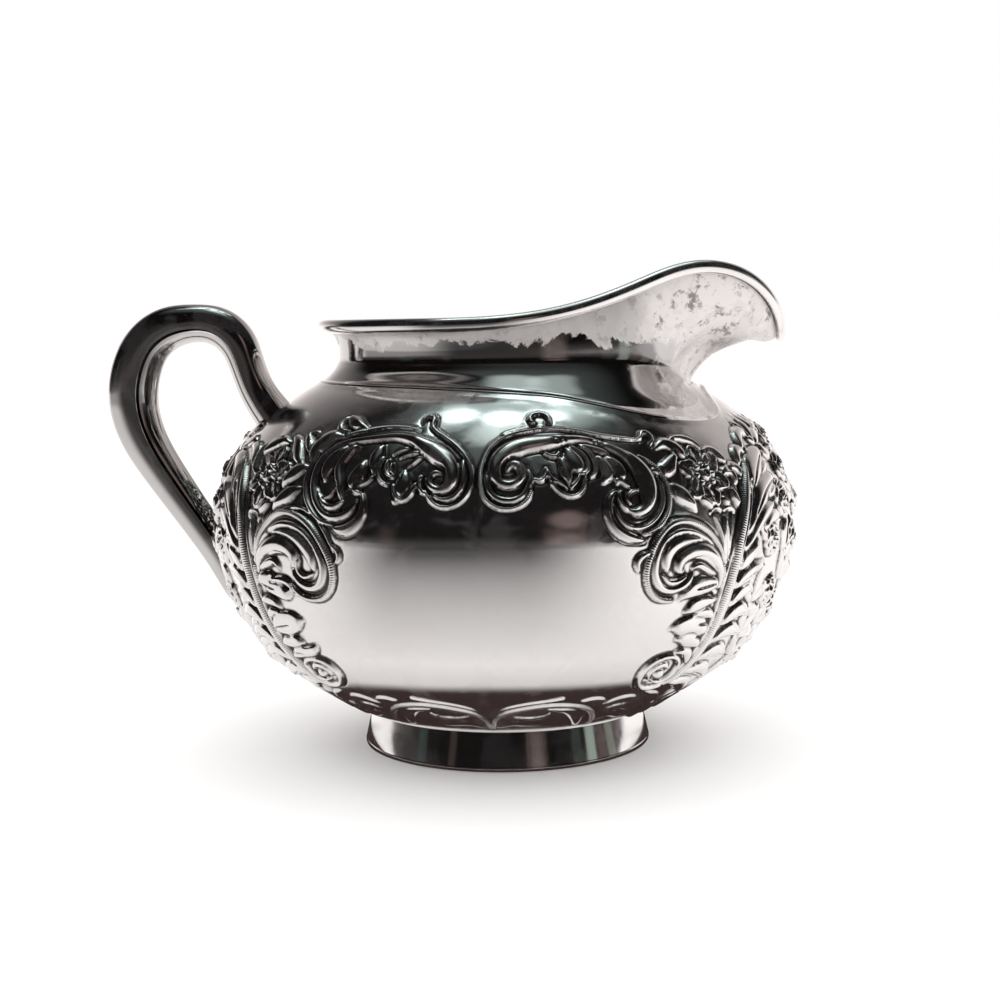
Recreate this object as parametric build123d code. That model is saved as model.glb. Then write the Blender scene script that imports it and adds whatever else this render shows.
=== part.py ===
from build123d import *
import math
import os

os.makedirs("parts", exist_ok=True)

# A silver cream jug.  Millimetres, +Z up, the table at Z = 0 and the bowl's axis on Z.
# The spout points along +X, the handle along -X, and the jug is mirrored about Y = 0.

# Driving dimensions
BOWL_RADIUS = 53.6          # at the equator
EQUATOR_Z = 43.1
SHEET = 0.9                 # thickness of the raised silver sheet
FOOT_RADIUS = 27.2          # where the jug stands
FOOT_HEIGHT = 8.2
RIM_WIRE = 2.5              # diameter of the wire round the mouth
HANDLE_SHEET = 1.0

# The bowl: a squat raised vessel, from the centre of its base up to the opening (radius, height)
BOWL_LINE = [
    (0.0, 5.6), (10.0, 5.7), (20.0, 6.2), (27.7, 7.7), (32.9, 10.8), (38.3, 14.4),
    (43.4, 18.6), (47.6, 23.8), (50.6, 29.8), (52.7, 36.3), (BOWL_RADIUS, EQUATOR_Z),
    (52.4, 49.9), (49.2, 56.0), (44.7, 61.3), (39.6, 65.4), (34.2, 68.6), (28.5, 71.0),
]


def spin_profile(profile):
    """A solid of revolution about Z from a closed wire in the XZ plane."""
    return revolve(Plane.XZ * make_face(profile), axis=Axis.Z)


outer = Spline(*BOWL_LINE, tangents=[(1, 0), (-1, 0.38)])
filled = spin_profile([outer, Line(BOWL_LINE[-1], (0, 71.0)), Line((0, 71.0), BOWL_LINE[0])])


def inward(points, gap):
    """The same row of (radius, height) points moved to its left by a gap, square to the row."""
    moved = []
    for i, (r, z) in enumerate(points):
        r0, z0 = points[max(i - 1, 0)]
        r1, z1 = points[min(i + 1, len(points) - 1)]
        size = math.hypot(r1 - r0, z1 - z0)
        moved.append((r - gap * (z1 - z0) / size, z + gap * (r1 - r0) / size))
    return moved


inside_line = inward(BOWL_LINE, SHEET)
inside_line[0] = (0.0, BOWL_LINE[0][1] + SHEET)
inner = Spline(*inside_line, tangents=[(1, 0), (-1, 0.38)])
hollow = spin_profile([
    inner, Line(inside_line[-1], (0, inside_line[-1][1])),
    Line((0, inside_line[-1][1]), inside_line[0]),
])
# The opening is a little longer towards the spout, so the neck stands right round its edge
opening = Pos(2.6, 0, 60) * extrude(Ellipse(34.0, 31.9), 20)
bowl = filled - hollow - opening

# The neck and spout: one sheet whose section is drawn at each station round the mouth.
# A station is the rim wire's centre there (x, y, z).
RIM = [
    (51.6, 0.0, 76.0), (51.1, 4.8, 78.0), (49.6, 8.9, 81.6), (46.5, 12.3, 85.2),
    (42.0, 15.1, 87.6), (36.5, 17.6, 88.3), (31.0, 19.9, 87.2), (25.0, 22.6, 84.8),
    (18.0, 25.9, 82.2), (10.0, 29.6, 80.2), (0.0, 32.3, 79.1), (-12.0, 30.9, 78.9),
    (-23.0, 23.9, 78.9), (-30.6, 12.9, 78.9), (-33.0, 0.0, 78.9),
]
NECK_CENTRE, NECK_LONG, NECK_WIDE = 2.5, 32.9, 31.4

# How a wall runs from the neck (0, 0) to the rim (1, 1): under the tip, beside it, along the
# spout's cheek, and round the plain mouth.  Each is drawn as (outward share, upward share).
UNDER_TIP = [(0.10, 0.32), (0.26, 0.62), (0.47, 0.83), (0.68, 0.90), (0.86, 0.86)]
BESIDE_TIP = [(0.09, 0.16), (0.24, 0.31), (0.46, 0.43), (0.68, 0.54), (0.87, 0.72)]
CHEEK = [(0.14, 0.12), (0.33, 0.25), (0.55, 0.42), (0.75, 0.61), (0.90, 0.81)]
MOUTH = [(0.02, 0.18), (0.09, 0.37), (0.22, 0.56), (0.44, 0.74), (0.72, 0.89)]
KEYS = [(0.0, UNDER_TIP), (11.0, BESIDE_TIP), (26.0, CHEEK), (75.0, MOUTH), (181.0, MOUTH)]


def blend(a, b, share):
    share = share * share * (3 - 2 * share)
    return [((1 - share) * p + share * u, (1 - share) * q + share * v)
            for (p, q), (u, v) in zip(a, b)]


def wall_line(x, y, z):
    """The outside of the wall at one station, as (radius, height) from the shoulder to the rim."""
    turn = abs(math.degrees(math.atan2(y, x)))
    way = math.radians(turn)
    front = ((1 + math.cos(way)) / 2) ** 4
    # where the ray at this angle leaves the oval neck
    c, s = math.cos(way) / NECK_LONG, math.sin(way) / NECK_WIDE
    m = NECK_CENTRE / NECK_LONG
    neck_r = (c * m + math.sqrt((c * m) ** 2 + (c * c + s * s) * (1 - m * m))) / (c * c + s * s)
    neck_z = 73.4 - 4.9 * front
    step = next(i for i in range(1, len(KEYS)) if turn <= KEYS[i][0])
    (a0, k0), (a1, k1) = KEYS[step - 1], KEYS[step]
    shares = blend(k0, k1, (turn - a0) / (a1 - a0))
    rim_r = math.hypot(x, y)
    rows = [(neck_r + (rim_r - neck_r) * p, neck_z + (z - neck_z) * q) for p, q in shares]
    foot = (neck_r + 3.6 + 1.4 * front, 67.4 - 3.6 * front)
    bend = (neck_r + 0.5 + 0.5 * front, 71.0 - 4.4 * front)
    return [foot, bend, (neck_r, neck_z), *rows, (rim_r, z)]


def wall_section(x, y, z):
    """A closed outline of the sheet at one station, standing in the plane through the axis."""
    turn = math.atan2(y, x)
    outside = wall_line(x, y, z)
    inside = inward(outside, SHEET)

    def place(row):
        return [(r * math.cos(turn), r * math.sin(turn), h) for r, h in row]

    out3, in3 = place(outside), place(inside)
    return Wire([
        Spline(*out3), Line(out3[-1], in3[-1]), Spline(*reversed(in3)), Line(in3[0], out3[0]),
    ])


mirrored = [(x, -y, z) for x, y, z in RIM]
stations_of_rim = [mirrored[2], mirrored[1], *RIM, mirrored[-2], mirrored[-3]]
half = Solid.make_loft([wall_section(*s) for s in stations_of_rim])
near_side = Pos(0, 60, 70) * Box(240, 120, 120)
rim_path = Spline(*stations_of_rim)
half_wire = sweep(Plane(rim_path @ 0, z_dir=rim_path % 0) * Circle(RIM_WIRE / 2), path=rim_path)
half_wire = half_wire & near_side
half = (half & near_side) - filled - half_wire
rim_wire = half_wire + mirror(half_wire, about=Plane.XZ)
neck_and_spout = half + mirror(half, about=Plane.XZ)

# The foot: a plain ring that flares very slightly, with a rounded wire along the bottom edge
WIRE_H = 1.5
foot_ring = spin_profile(Polyline(
    (FOOT_RADIUS - 0.5, WIRE_H), (FOOT_RADIUS - 1.1, 4.5), (FOOT_RADIUS - 1.4, FOOT_HEIGHT),
    (FOOT_RADIUS - 2.4, FOOT_HEIGHT), (FOOT_RADIUS - 2.1, 4.5), (FOOT_RADIUS - 1.6, WIRE_H),
    close=True)) - filled
foot_base_wire = spin_profile([
    Line((FOOT_RADIUS - 1.8, 0), (FOOT_RADIUS - 0.5, 0)),
    ThreePointArc((FOOT_RADIUS - 0.5, 0), (FOOT_RADIUS + 0.1, WIRE_H / 2),
                  (FOOT_RADIUS - 0.5, WIRE_H)),
    Line((FOOT_RADIUS - 0.5, WIRE_H), (FOOT_RADIUS - 1.8, WIRE_H)),
    Line((FOOT_RADIUS - 1.8, WIRE_H), (FOOT_RADIUS - 1.8, 0)),
])

# The hollow handle, as (x, z, half its depth in the XZ plane, half its width along Y)
HANDLE = [
    (-41.2, 59.0, 4.3, 4.6), (-44.6, 63.4, 3.8, 4.1), (-47.2, 67.8, 3.5, 3.7),
    (-48.9, 72.6, 3.5, 3.6), (-50.6, 76.4, 3.7, 3.6), (-53.9, 79.2, 3.7, 3.6),
    (-58.4, 79.95, 3.6, 3.6), (-63.6, 79.0, 4.1, 3.7), (-67.9, 75.7, 4.5, 3.8),
    (-70.3, 70.6, 4.8, 3.9), (-70.9, 65.2, 4.8, 3.9), (-69.6, 59.3, 4.5, 3.8),
    (-66.8, 53.8, 4.1, 3.6), (-62.6, 47.4, 3.75, 3.5), (-58.5, 41.4, 3.5, 3.4),
    (-54.9, 35.8, 3.3, 3.3), (-52.3, 30.2, 2.9, 3.0),
]
CUT = 0.42                  # share of the half depth, inward, where shell and strip meet


def bean(deep, wide, depth_share):
    """Half width of the handle at a share of its half depth (a soft rounded section)."""
    return wide * (1 - abs(depth_share) ** 2.4) ** (1 / 2.2)


def handle_frames():
    """A plane square to the handle at every station; its X axis points to the outside."""
    for i, (x, z, deep, wide) in enumerate(HANDLE):
        x0, z0 = HANDLE[max(i - 1, 0)][:2]
        x1, z1 = HANDLE[min(i + 1, len(HANDLE) - 1)][:2]
        along = Vector(x1 - x0, 0, z1 - z0).normalized()
        yield Plane((x, 0, z), x_dir=(along.Z, 0, -along.X), z_dir=along), deep, wide


def shell_section(plane, deep, wide):
    """The rounded outer shell: an open C, drawn as outside and inside curves joined by lips."""
    def curve(d, w, start):
        ups = [(t, bean(d, w, t / d)) for t in
               (start, 0.1 * d, 0.5 * d, 0.8 * d, 0.95 * d)]
        return [*ups, (d, 0), *[(t, -v) for t, v in reversed(ups)]]

    lip = -CUT * deep
    outside = curve(deep, wide, lip)
    within = curve(deep - HANDLE_SHEET, wide - HANDLE_SHEET, lip)
    return plane * Wire([
        Spline(*outside), Line(outside[-1], within[-1]),
        Spline(*reversed(within)), Line(within[0], outside[0]),
    ])


def strip_section(plane, deep, wide):
    """The strip that closes the shell along the finger side, a shallow gutter in section."""
    lip = -CUT * deep
    edge = bean(deep, wide, CUT) - 0.25
    outside = [(lip, edge), (-0.80 * deep, 0.62 * edge), (-deep, 0), (-0.80 * deep, -0.62 * edge),
               (lip, -edge)]
    within = [(lip, edge - 1.2), (-0.80 * deep + 1.0, 0.4 * edge), (-deep + 1.0, 0),
              (-0.80 * deep + 1.0, -0.4 * edge), (lip, -edge + 1.2)]
    return plane * Wire([
        Spline(*outside), Line(outside[-1], within[-1]),
        Spline(*reversed(within)), Line(within[0], outside[0]),
    ])


frames = list(handle_frames())
handle_outer_shell = Solid.make_loft([shell_section(*f) for f in frames]) - filled
handle_inner_strip = Solid.make_loft([strip_section(*f) for f in frames]) - filled
handle_inner_strip = handle_inner_strip - handle_outer_shell

nodes = {
    "bowl": bowl,
    "neck_and_spout": neck_and_spout,
    "rim_wire": rim_wire,
    "foot_ring": foot_ring,
    "foot_base_wire": foot_base_wire,
    "handle_outer_shell": handle_outer_shell,
    "handle_inner_strip": handle_inner_strip,
}
for name, shape in nodes.items():
    solids = shape.solids()
    box = shape.bounding_box()
    print(name, len(solids), "solid(s)", round(sum(s.volume for s in solids), 1),
          [round(v, 1) for v in (*box.min, *box.max)], all(s.is_valid for s in solids))
    export_step(shape, f"parts/{name}.step")
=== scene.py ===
import math

import bpy
import numpy as np
from mathutils import Matrix, kdtree


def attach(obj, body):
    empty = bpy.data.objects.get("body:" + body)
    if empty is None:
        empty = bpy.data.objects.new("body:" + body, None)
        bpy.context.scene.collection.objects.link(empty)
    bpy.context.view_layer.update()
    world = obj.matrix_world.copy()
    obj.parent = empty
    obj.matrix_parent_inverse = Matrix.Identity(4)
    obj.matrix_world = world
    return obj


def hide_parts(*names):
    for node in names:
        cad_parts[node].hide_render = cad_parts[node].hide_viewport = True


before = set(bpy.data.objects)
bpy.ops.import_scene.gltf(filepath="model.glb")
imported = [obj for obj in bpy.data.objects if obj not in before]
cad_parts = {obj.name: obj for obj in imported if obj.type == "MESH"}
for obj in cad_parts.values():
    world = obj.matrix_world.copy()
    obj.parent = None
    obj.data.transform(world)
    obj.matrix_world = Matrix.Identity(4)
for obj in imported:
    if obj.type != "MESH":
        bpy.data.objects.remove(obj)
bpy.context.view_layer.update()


# ---- The bowl ------------------------------------------------------------------------------
# A raised silver body, chased all round with scrolls, leaves and flowers that frame a plain panel
# on each side.  It is worked on a flat layout of one side, in millimetres: u runs round the belly
# from the middle of the side towards the spout, and v runs up the sheet from its widest line.

BELLY = 53.6
SHEET = 0.9
BOWL_LINE = [
    (0.0, 5.6), (10.0, 5.7), (20.0, 6.2), (27.7, 7.7), (32.9, 10.8), (38.3, 14.4),
    (43.4, 18.6), (47.6, 23.8), (50.6, 29.8), (52.7, 36.3), (BELLY, 43.1),
    (52.4, 49.9), (49.2, 56.0), (44.7, 61.3), (39.6, 65.4), (34.2, 68.6), (28.5, 71.0),
]
SIDE = math.pi / 2 * BELLY          # from the middle of a side to the spout or the handle
STEP = 0.155
FACES_A_SIDE = 190_000


def flowing(points, count):
    """A smooth line through the points given, as evenly spaced points (a natural cubic)."""
    p = np.asarray(points, float)
    if len(p) == 2:
        return p[0] + (p[1] - p[0]) * np.linspace(0, 1, count)[:, None]
    t = np.r_[0, np.cumsum(np.sqrt(np.linalg.norm(np.diff(p[:, :2], axis=0), axis=1)))]
    n, h = len(t), np.diff(t)
    a = np.eye(n)
    b = np.zeros_like(p)
    for i in range(1, n - 1):
        a[i, i - 1:i + 2] = h[i - 1], 2 * (h[i - 1] + h[i]), h[i]
        b[i] = 6 * ((p[i + 1] - p[i]) / h[i] - (p[i] - p[i - 1]) / h[i - 1])
    m = np.linalg.solve(a, b)

    def at(s):
        i = np.clip(np.searchsorted(t, s, side="right") - 1, 0, n - 2)
        x, y, g = (t[i + 1] - s)[:, None], (s - t[i])[:, None], h[i][:, None]
        return (m[i] * x**3 + m[i + 1] * y**3) / (6 * g) + (
            (p[i] / g - m[i] * g / 6) * x + (p[i + 1] / g - m[i + 1] * g / 6) * y)

    fine = np.linspace(0, t[-1], count * 4)
    walk = np.r_[0, np.cumsum(np.linalg.norm(np.diff(at(fine)[:, :2], axis=0), axis=1))]
    return at(np.interp(np.linspace(0, walk[-1], count), walk, fine))


# the section of the bowl against v, the distance along it from the belly line
section = flowing(BOWL_LINE, 1200)
along = np.r_[0, np.cumsum(np.linalg.norm(np.diff(section, axis=0), axis=1))]
along -= np.interp(BOWL_LINE[10][1], section[:, 1], along)


def bowl_radius(v):
    return np.interp(v, along, section[:, 0])


def bowl_height(v):
    return np.interp(v, along, section[:, 1])


FOOT_V = float(np.interp(27.0, section[:600, 0], along[:600]))
columns = int(2 * SIDE / STEP) // 2 * 2 + 1
angle = np.linspace(-math.pi / 2, math.pi / 2, columns)
# the mouth of the bowl is an oval, longer towards the spout
oval = np.sqrt(1 / ((np.sin(angle) / 33.6) ** 2 + (np.cos(angle) / 31.9) ** 2)) + 2.6 * np.sin(angle)
above = section[:, 1] > 50
mouth_v = np.interp(-oval, -section[above, 0], along[above])
rows = int((mouth_v.max() - FOOT_V) / STEP)
share = np.linspace(0, 1, rows)[:, None]
V = FOOT_V + share * (mouth_v - FOOT_V)[None, :]
U = np.repeat((angle * BELLY)[None, :], rows, axis=0)
SQUASH = bowl_radius(V) / BELLY      # how much narrower a step of u is at this height
relief = np.zeros_like(V)
fine = np.zeros_like(V)              # lines cut afterwards with the graver
grain = np.zeros_like(V)             # fine stippling, punched into petals and grounds
mill = np.zeros_like(V)              # where a wire is nicked across, and how far along it
beat = np.zeros_like(V)


def window(low_u, high_u, low_v, high_v):
    """The patch of the layout that a stroke can touch."""
    left, right = np.searchsorted(angle * BELLY, [low_u, high_u])
    low = (low_v - FOOT_V) / (mouth_v.max() - FOOT_V)
    high = (high_v - FOOT_V) / (mouth_v.min() - FOOT_V)
    low, high = int(np.clip(low, 0, 1) * rows), int(np.clip(high, 0, 1) * rows) + 2
    return slice(max(low - 2, 0), high), slice(max(left - 1, 0), right + 1)


def beside(line, reach, patch):
    """Distance from a line, which side of it, and how far along it, for every spot of a patch."""
    u, v, k = U[patch], V[patch], SQUASH[patch]
    best = np.full(u.shape, 1e9)
    way = np.zeros_like(u)
    hand = np.ones_like(u)
    last = len(line) - 1
    for i in range(last):
        (u0, v0), (u1, v1) = line[i, :2], line[i + 1, :2]
        near = window(min(u0, u1) - reach * 1.6, max(u0, u1) + reach * 1.6,
                      min(v0, v1) - reach, max(v0, v1) + reach)
        r0, r1 = max(near[0].start - patch[0].start, 0), near[0].stop - patch[0].start
        c0, c1 = max(near[1].start - patch[1].start, 0), near[1].stop - patch[1].start
        if r1 <= r0 or c1 <= c0:
            continue
        uu, vv, kk = u[r0:r1, c0:c1], v[r0:r1, c0:c1], k[r0:r1, c0:c1]
        a, b = (u1 - u0) * kk, v1 - v0
        x, y = (uu - u0) * kk, vv - v0
        t = np.clip((x * a + y * b) / (a * a + b * b + 1e-12), 0, 1)
        d = np.hypot(x - t * a, y - t * b)
        closer = d < best[r0:r1, c0:c1]
        best[r0:r1, c0:c1][closer] = d[closer]
        way[r0:r1, c0:c1][closer] = ((i + t) / last)[closer]
        hand[r0:r1, c0:c1][closer] = np.sign(a * y - b * x)[closer]
    return best, hand, way


def rounded(side):
    return np.clip(1 - side * side, 0, 1) ** 0.7


def pillowed(side):
    return 1 - np.abs(side) ** 3.5


def emboss(points, wide, high, form=rounded, lift=0.0, sink=0.22, milled=0.0, over=True, grain_by=0.0):
    """Raises one stroke of ornament, `wide` each side of its line, with a chased line round it."""
    given = np.asarray(points, float)
    wides = np.broadcast_to(np.asarray(wide, float), (len(given),))
    length = float(np.linalg.norm(np.diff(given, axis=0), axis=1).sum())
    line = flowing(np.c_[given, wides], max(8, int(length / 0.45)))
    reach = float(line[:, 2].max()) + 1.1
    patch = window(line[:, 0].min() - reach * 1.7, line[:, 0].max() + reach * 1.7,
                   line[:, 1].min() - reach, line[:, 1].max() + reach)
    gap, hand, way = beside(line, reach, patch)
    half = np.interp(way, np.linspace(0, 1, len(line)), np.clip(line[:, 2], 0.05, None))
    side = gap / half
    inside = side < 1
    ends = np.clip(half / wides.max() * 1.6, 0.35, 1)
    top = lift + high * ends * form(np.clip(hand * side, -1, 1))
    here = relief[patch]
    here[inside] = (top if over else np.maximum(here, top))[inside]
    edge = np.exp(-((gap - half) / 0.30) ** 2)
    here -= np.where(inside, 0.25, 1.0) * sink * edge
    fine[patch][inside] = 0
    grain[patch][inside] = grain_by
    mill[patch][inside] = (np.clip(1.6 - 1.7 * side, 0, 1) if milled else 0 * side)[inside]
    if milled:
        beat[patch][side < 1.3] = (way * length / milled)[side < 1.3]
    return line


def chase(points, wide=0.28, deep=0.35):
    """Cuts a tapered line into what is already raised."""
    line = flowing(points, 24)
    patch = window(line[:, 0].min() - 2, line[:, 0].max() + 2, line[:, 1].min() - 2, line[:, 1].max() + 2)
    gap, _, way = beside(line, 1.2, patch)
    half = wide * np.sqrt(np.clip(1 - (2 * way - 1) ** 2, 0.02, 1))
    fine[patch] -= deep * np.exp(-(gap / half) ** 2)


def boss(u, v, radius, high, dimple=0.0):
    """A round stud or bead, with an optional punched middle."""
    patch = window(u - radius * 2.5, u + radius * 2.5, v - radius * 1.8, v + radius * 1.8)
    gap = np.hypot((U[patch] - u) * SQUASH[patch], V[patch] - v) / radius
    here = relief[patch]
    inside = gap < 1
    here[inside] = (here * 0.3 + high * rounded(gap) - dimple * np.exp(-(gap / 0.35) ** 2))[inside]
    here -= 0.25 * np.exp(-((gap - 1.08) * radius / 0.2) ** 2)


def turned(points, u, v, turn, size=1.0, flip=1):
    """Strokes drawn round (0, 0), turned, sized and set down at (u, v)."""
    c, s = math.cos(math.radians(turn)), math.sin(math.radians(turn))
    return [(u + size * (flip * x * c - y * s), v + size * (flip * x * s + y * c)) for x, y in points]


def blossom(u, v, radius, petals, start=90, grain_by=0.5):
    """A flower of notched, stippled petals round a beaded eye."""
    for i in range(petals):
        way = start + 360 * i / petals
        petal = [(0.12 * radius, 0), (0.45 * radius, 0), (0.72 * radius, 0), (0.9 * radius, 0)]
        half = math.pi / petals * radius * 0.62
        emboss(turned(petal, u, v, way), [0.35 * half, half, 1.12 * half, 0.75 * half], 1.0,
               form=lambda s: 0.45 + 0.4 * np.abs(s) ** 1.6 - 0.35 * np.clip((np.abs(s) - 0.82) / 0.18, 0,
                   1),
               sink=0.4, grain_by=grain_by)
        chase(turned([(0.3 * radius, 0), (0.7 * radius, 0)], u, v, way), 0.2, 0.22)
    boss(u, v, 0.26 * radius, 1.35, 0.5)
    for i in range(8):
        way = math.radians(45 * i)
        boss(u + 0.36 * radius * math.cos(way), v + 0.36 * radius * math.sin(way), 0.09 * radius + 0.1, 0.9)


def rose(u, v, radius, turn=0):
    """A full rose: three rings of overlapping curled petals."""
    for ring, (count, out, size) in enumerate([(6, 0.78, 0.50), (5, 0.48, 0.42), (3, 0.20, 0.3)]):
        for i in range(count):
            way = turn + 360 * (i + 0.5 * ring) / count
            arc = [(out * radius * math.cos(a), size * radius * 1.25 * math.sin(a)) for a in (-1.15, -0.6,
                0, 0.6, 1.15)]
            shoulder = 0.3 * size * radius + 0.12
            emboss(turned(arc, u, v, way), [0.15, shoulder, 0.42 * size * radius + 0.14, shoulder, 0.15],
                   0.75, lift=0.25 + 0.28 * ring, sink=0.3)
    boss(u, v, 0.16 * radius, 1.5)


def leafy(side):
    """A leaf's section: a low crowned top that ends in a small step, not down at the ground."""
    return 0.42 + 0.58 * (1 - side * side)


def sprigs(strokes, u=0.0, v=0.0, turn=0.0, size=1.0, flip=1, **how):
    """Sets down a spray of leaf strokes; each is its points, with the half width at each."""
    for stroke in strokes:
        points = [(x, y) for x, y, _ in stroke]
        if (u, v, turn, size, flip) != (0, 0, 0, 1, 1):
            points = turned(points, u, v, turn, size, flip)
        emboss(points, [w * size * 1.22 for _, _, w in stroke],
               **{"high": 1.0, "form": leafy, "sink": 0.14, **how})


# Towards the handle and the spout the ground is filled with leaves and roses
SPRAY = [
    [(0, 0, 0.3), (1.6, 2.2, 0.9), (2.4, 4.6, 0.8), (2.2, 6.4, 0.2)],
    [(0, 0, 0.3), (2.6, 0.9, 1.0), (5.0, 1.0, 0.9), (6.8, 0.2, 0.2)],
    [(0, 0, 0.3), (-1.2, 2.4, 0.8), (-1.4, 4.6, 0.7), (-0.8, 6.0, 0.2)],
    [(0, 0, 0.3), (1.8, -1.8, 0.9), (4.0, -2.8, 0.8), (5.6, -3.0, 0.2)],
]
for u, v, turn, flip in [
    (58.0, 8.0, 20, 1), (66.0, 15.0, 10, 1), (75.5, 4.0, 60, 1), (73.0, 17.0, 0, 1), (67.0, -5.0, -20, 1),
    (75.5, -12.0, 10, 1), (64.0, -19.0, -40, 1), (73.0, -23.0, -10, 1), (62.0, -27.0, -60, 1),
    (72.0, -33.0, -20, 1), (60.0, -37.0, -40, 1), (50.0, -38.0, -60, 1), (80.0, 10.0, 80, 1),
    (80.5, -18.0, 80, 1), (80.0, -30.0, 80, 1), (79.0, 21.0, 100, 1), (56.0, -13.0, 10, 1),
    (57.0, -20.0, -10, 1), (56.0, 0.0, 10, 1), (76.0, -38.0, 60, 1), (66.0, -38.0, 30, 1),
]:
    sprigs(SPRAY, u, v, turn, 1.15, flip, high=0.85)
    sprigs(SPRAY, -u - 0.6, v, 180 - turn, 1.15, -flip, high=0.85)
for u, v, radius in [(60.0, -2.0, 3.0), (66.5, 4.6, 3.6), (64.0, -12.0, 3.2), (73.5, -3.5, 3.8),
                     (73.0, 10.5, 3.4), (71.5, -17.0, 3.4), (80.8, 3.2, 3.4), (80.4, -9.6, 3.6),
                     (79.8, 16.4, 3.0), (79.8, -24.5, 3.2), (66.0, -26.0, 3.0)]:
    rose(u, v, radius, turn=u * 7)
    rose(-u - 0.6, v, radius, turn=u * 5)

# Leaf strokes on the outer side of each main stem, fanning away from the panel
OUTER_LEAVES = [
    [(50.0, 2.0, 0.5), (52.8, 6.6, 1.5), (57.0, 10.6, 1.9), (61.8, 13.2, 1.5), (66.0, 14.0, 0.4)],
    [(50.6, 0.0, 0.5), (54.0, 3.8, 1.7), (58.4, 7.0, 1.6), (63.0, 8.6, 1.0), (66.0, 8.8, 0.3)],
    [(49.8, -2.4, 0.4), (53.4, 0.9, 1.0), (57.2, 3.2, 1.0), (61.5, 4.4, 0.3)],
    [(48.4, -5.8, 0.4), (50.2, -4.4, 1.3), (52.2, -3.2, 1.2), (54.2, -1.4, 0.4)],
    [(48.0, -9.2, 0.4), (50.6, -7.6, 1.1), (53.8, -6.4, 1.2), (56.8, -5.6, 0.4)],
    [(48.0, -12.6, 0.4), (50.4, -10.7, 1.0), (52.8, -9.8, 1.1), (55.2, -10.6, 0.4)],
    [(47.6, -16.0, 0.4), (50.4, -14.4, 1.1), (53.4, -13.8, 1.2), (56.2, -15.0, 0.4)],
    [(47.0, -19.4, 0.4), (50.0, -17.9, 1.0), (53.4, -17.8, 1.1), (56.4, -19.2, 0.4)],
    [(45.6, -23.0, 0.4), (49.2, -21.8, 1.1), (52.6, -22.1, 1.2), (56.0, -24.0, 0.4)],
    [(44.2, -26.2, 0.4), (48.0, -25.9, 1.1), (52.0, -27.0, 1.3), (56.0, -30.0, 0.4)],
    [(42.6, -29.0, 0.4), (47.0, -29.8, 1.2), (51.5, -31.8, 1.3), (56.0, -35.0, 0.4)],
]
sprigs(OUTER_LEAVES, high=1.05)
sprigs(OUTER_LEAVES, -0.6, 0, 0, 1, -1, high=1.05)
for flip in (1, -1):
    for vein in ([(52.0, 4.2), (56.6, 9.4), (62.6, 12.8)], [(53.0, 3.0), (57.6, 6.2), (63.0, 8.0)],
                 [(49.6, -8.4), (55.4, -6.2)], [(49.4, -11.4), (54.0, -10.2)], [(49.4, -15.0),
                  (54.8, -14.4)],
                 [(48.4, -18.6), (55.0, -18.5)], [(48.0, -22.2), (54.8, -23.2)], [(46.6, -26.0),
                  (54.4, -28.9)]):
        chase([(flip * x - (0.6 if flip < 0 else 0), y) for x, y in vein], 0.22, 0.35)

# The right half: leaves on the panel side of the stem, their tips curled over
sprigs([
    [(44.2, -7.6, 0.5), (41.6, -7.4, 1.3), (38.6, -7.7, 1.4), (36.4, -8.6, 1.0), (35.4, -9.7, 0.3)],
    [(44.0, -10.6, 0.4), (41.6, -10.5, 0.9), (38.9, -11.1, 1.1), (37.2, -12.1, 0.4)],
    [(44.2, -13.6, 0.5), (42.0, -12.7, 0.9), (40.0, -12.9, 0.7), (38.9, -13.9, 0.3)],
    [(44.0, -16.4, 0.6), (41.2, -15.5, 1.7), (38.2, -15.0, 1.6), (36.0, -14.9, 1.0), (35.0, -15.1, 0.4)],
    [(43.4, -19.2, 0.5), (41.0, -18.1, 1.2), (38.9, -17.4, 1.2), (37.3, -17.4, 0.5)],
    [(42.6, -23.4, 0.5), (41.6, -21.2, 0.9), (39.9, -20.1, 0.7), (38.0, -20.4, 0.3)],
], high=1.05)
for vein in ([(43.4, -9.6), (41.9, -9.2)], [(43.2, -17.9), (41.2, -17.2)], [(43.6, -14.9), (40.6, -14.6)],
             [(42.6, -7.4), (38.0, -7.9)]):
    chase(vein, 0.24, 0.4)
# its lower volute
emboss([(44.9, -22.6), (43.6, -25.7), (41.4, -28.1), (38.5, -29.6), (35.7, -29.5), (33.3, -28.0),
        (32.1, -25.4), (32.6, -22.8), (34.6, -21.3), (37.3, -21.0), (39.6, -22.0), (40.8, -24.0),
        (40.2, -26.2), (38.6, -27.3), (36.6, -27.2)],
       [0.5, 0.6, 0.75, 0.8, 0.75, 0.7, 0.7, 0.7, 0.65, 0.6, 0.6, 0.6, 0.6, 0.6, 0.4], 0.95)
emboss([(34.5, -26.2), (34.3, -24.4), (35.6, -23.2), (37.4, -23.2), (38.5, -24.5)],
       [0.4, 0.6, 0.7, 0.6, 0.3], 0.7)
boss(36.6, -25.2, 1.35, 1.1)

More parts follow.
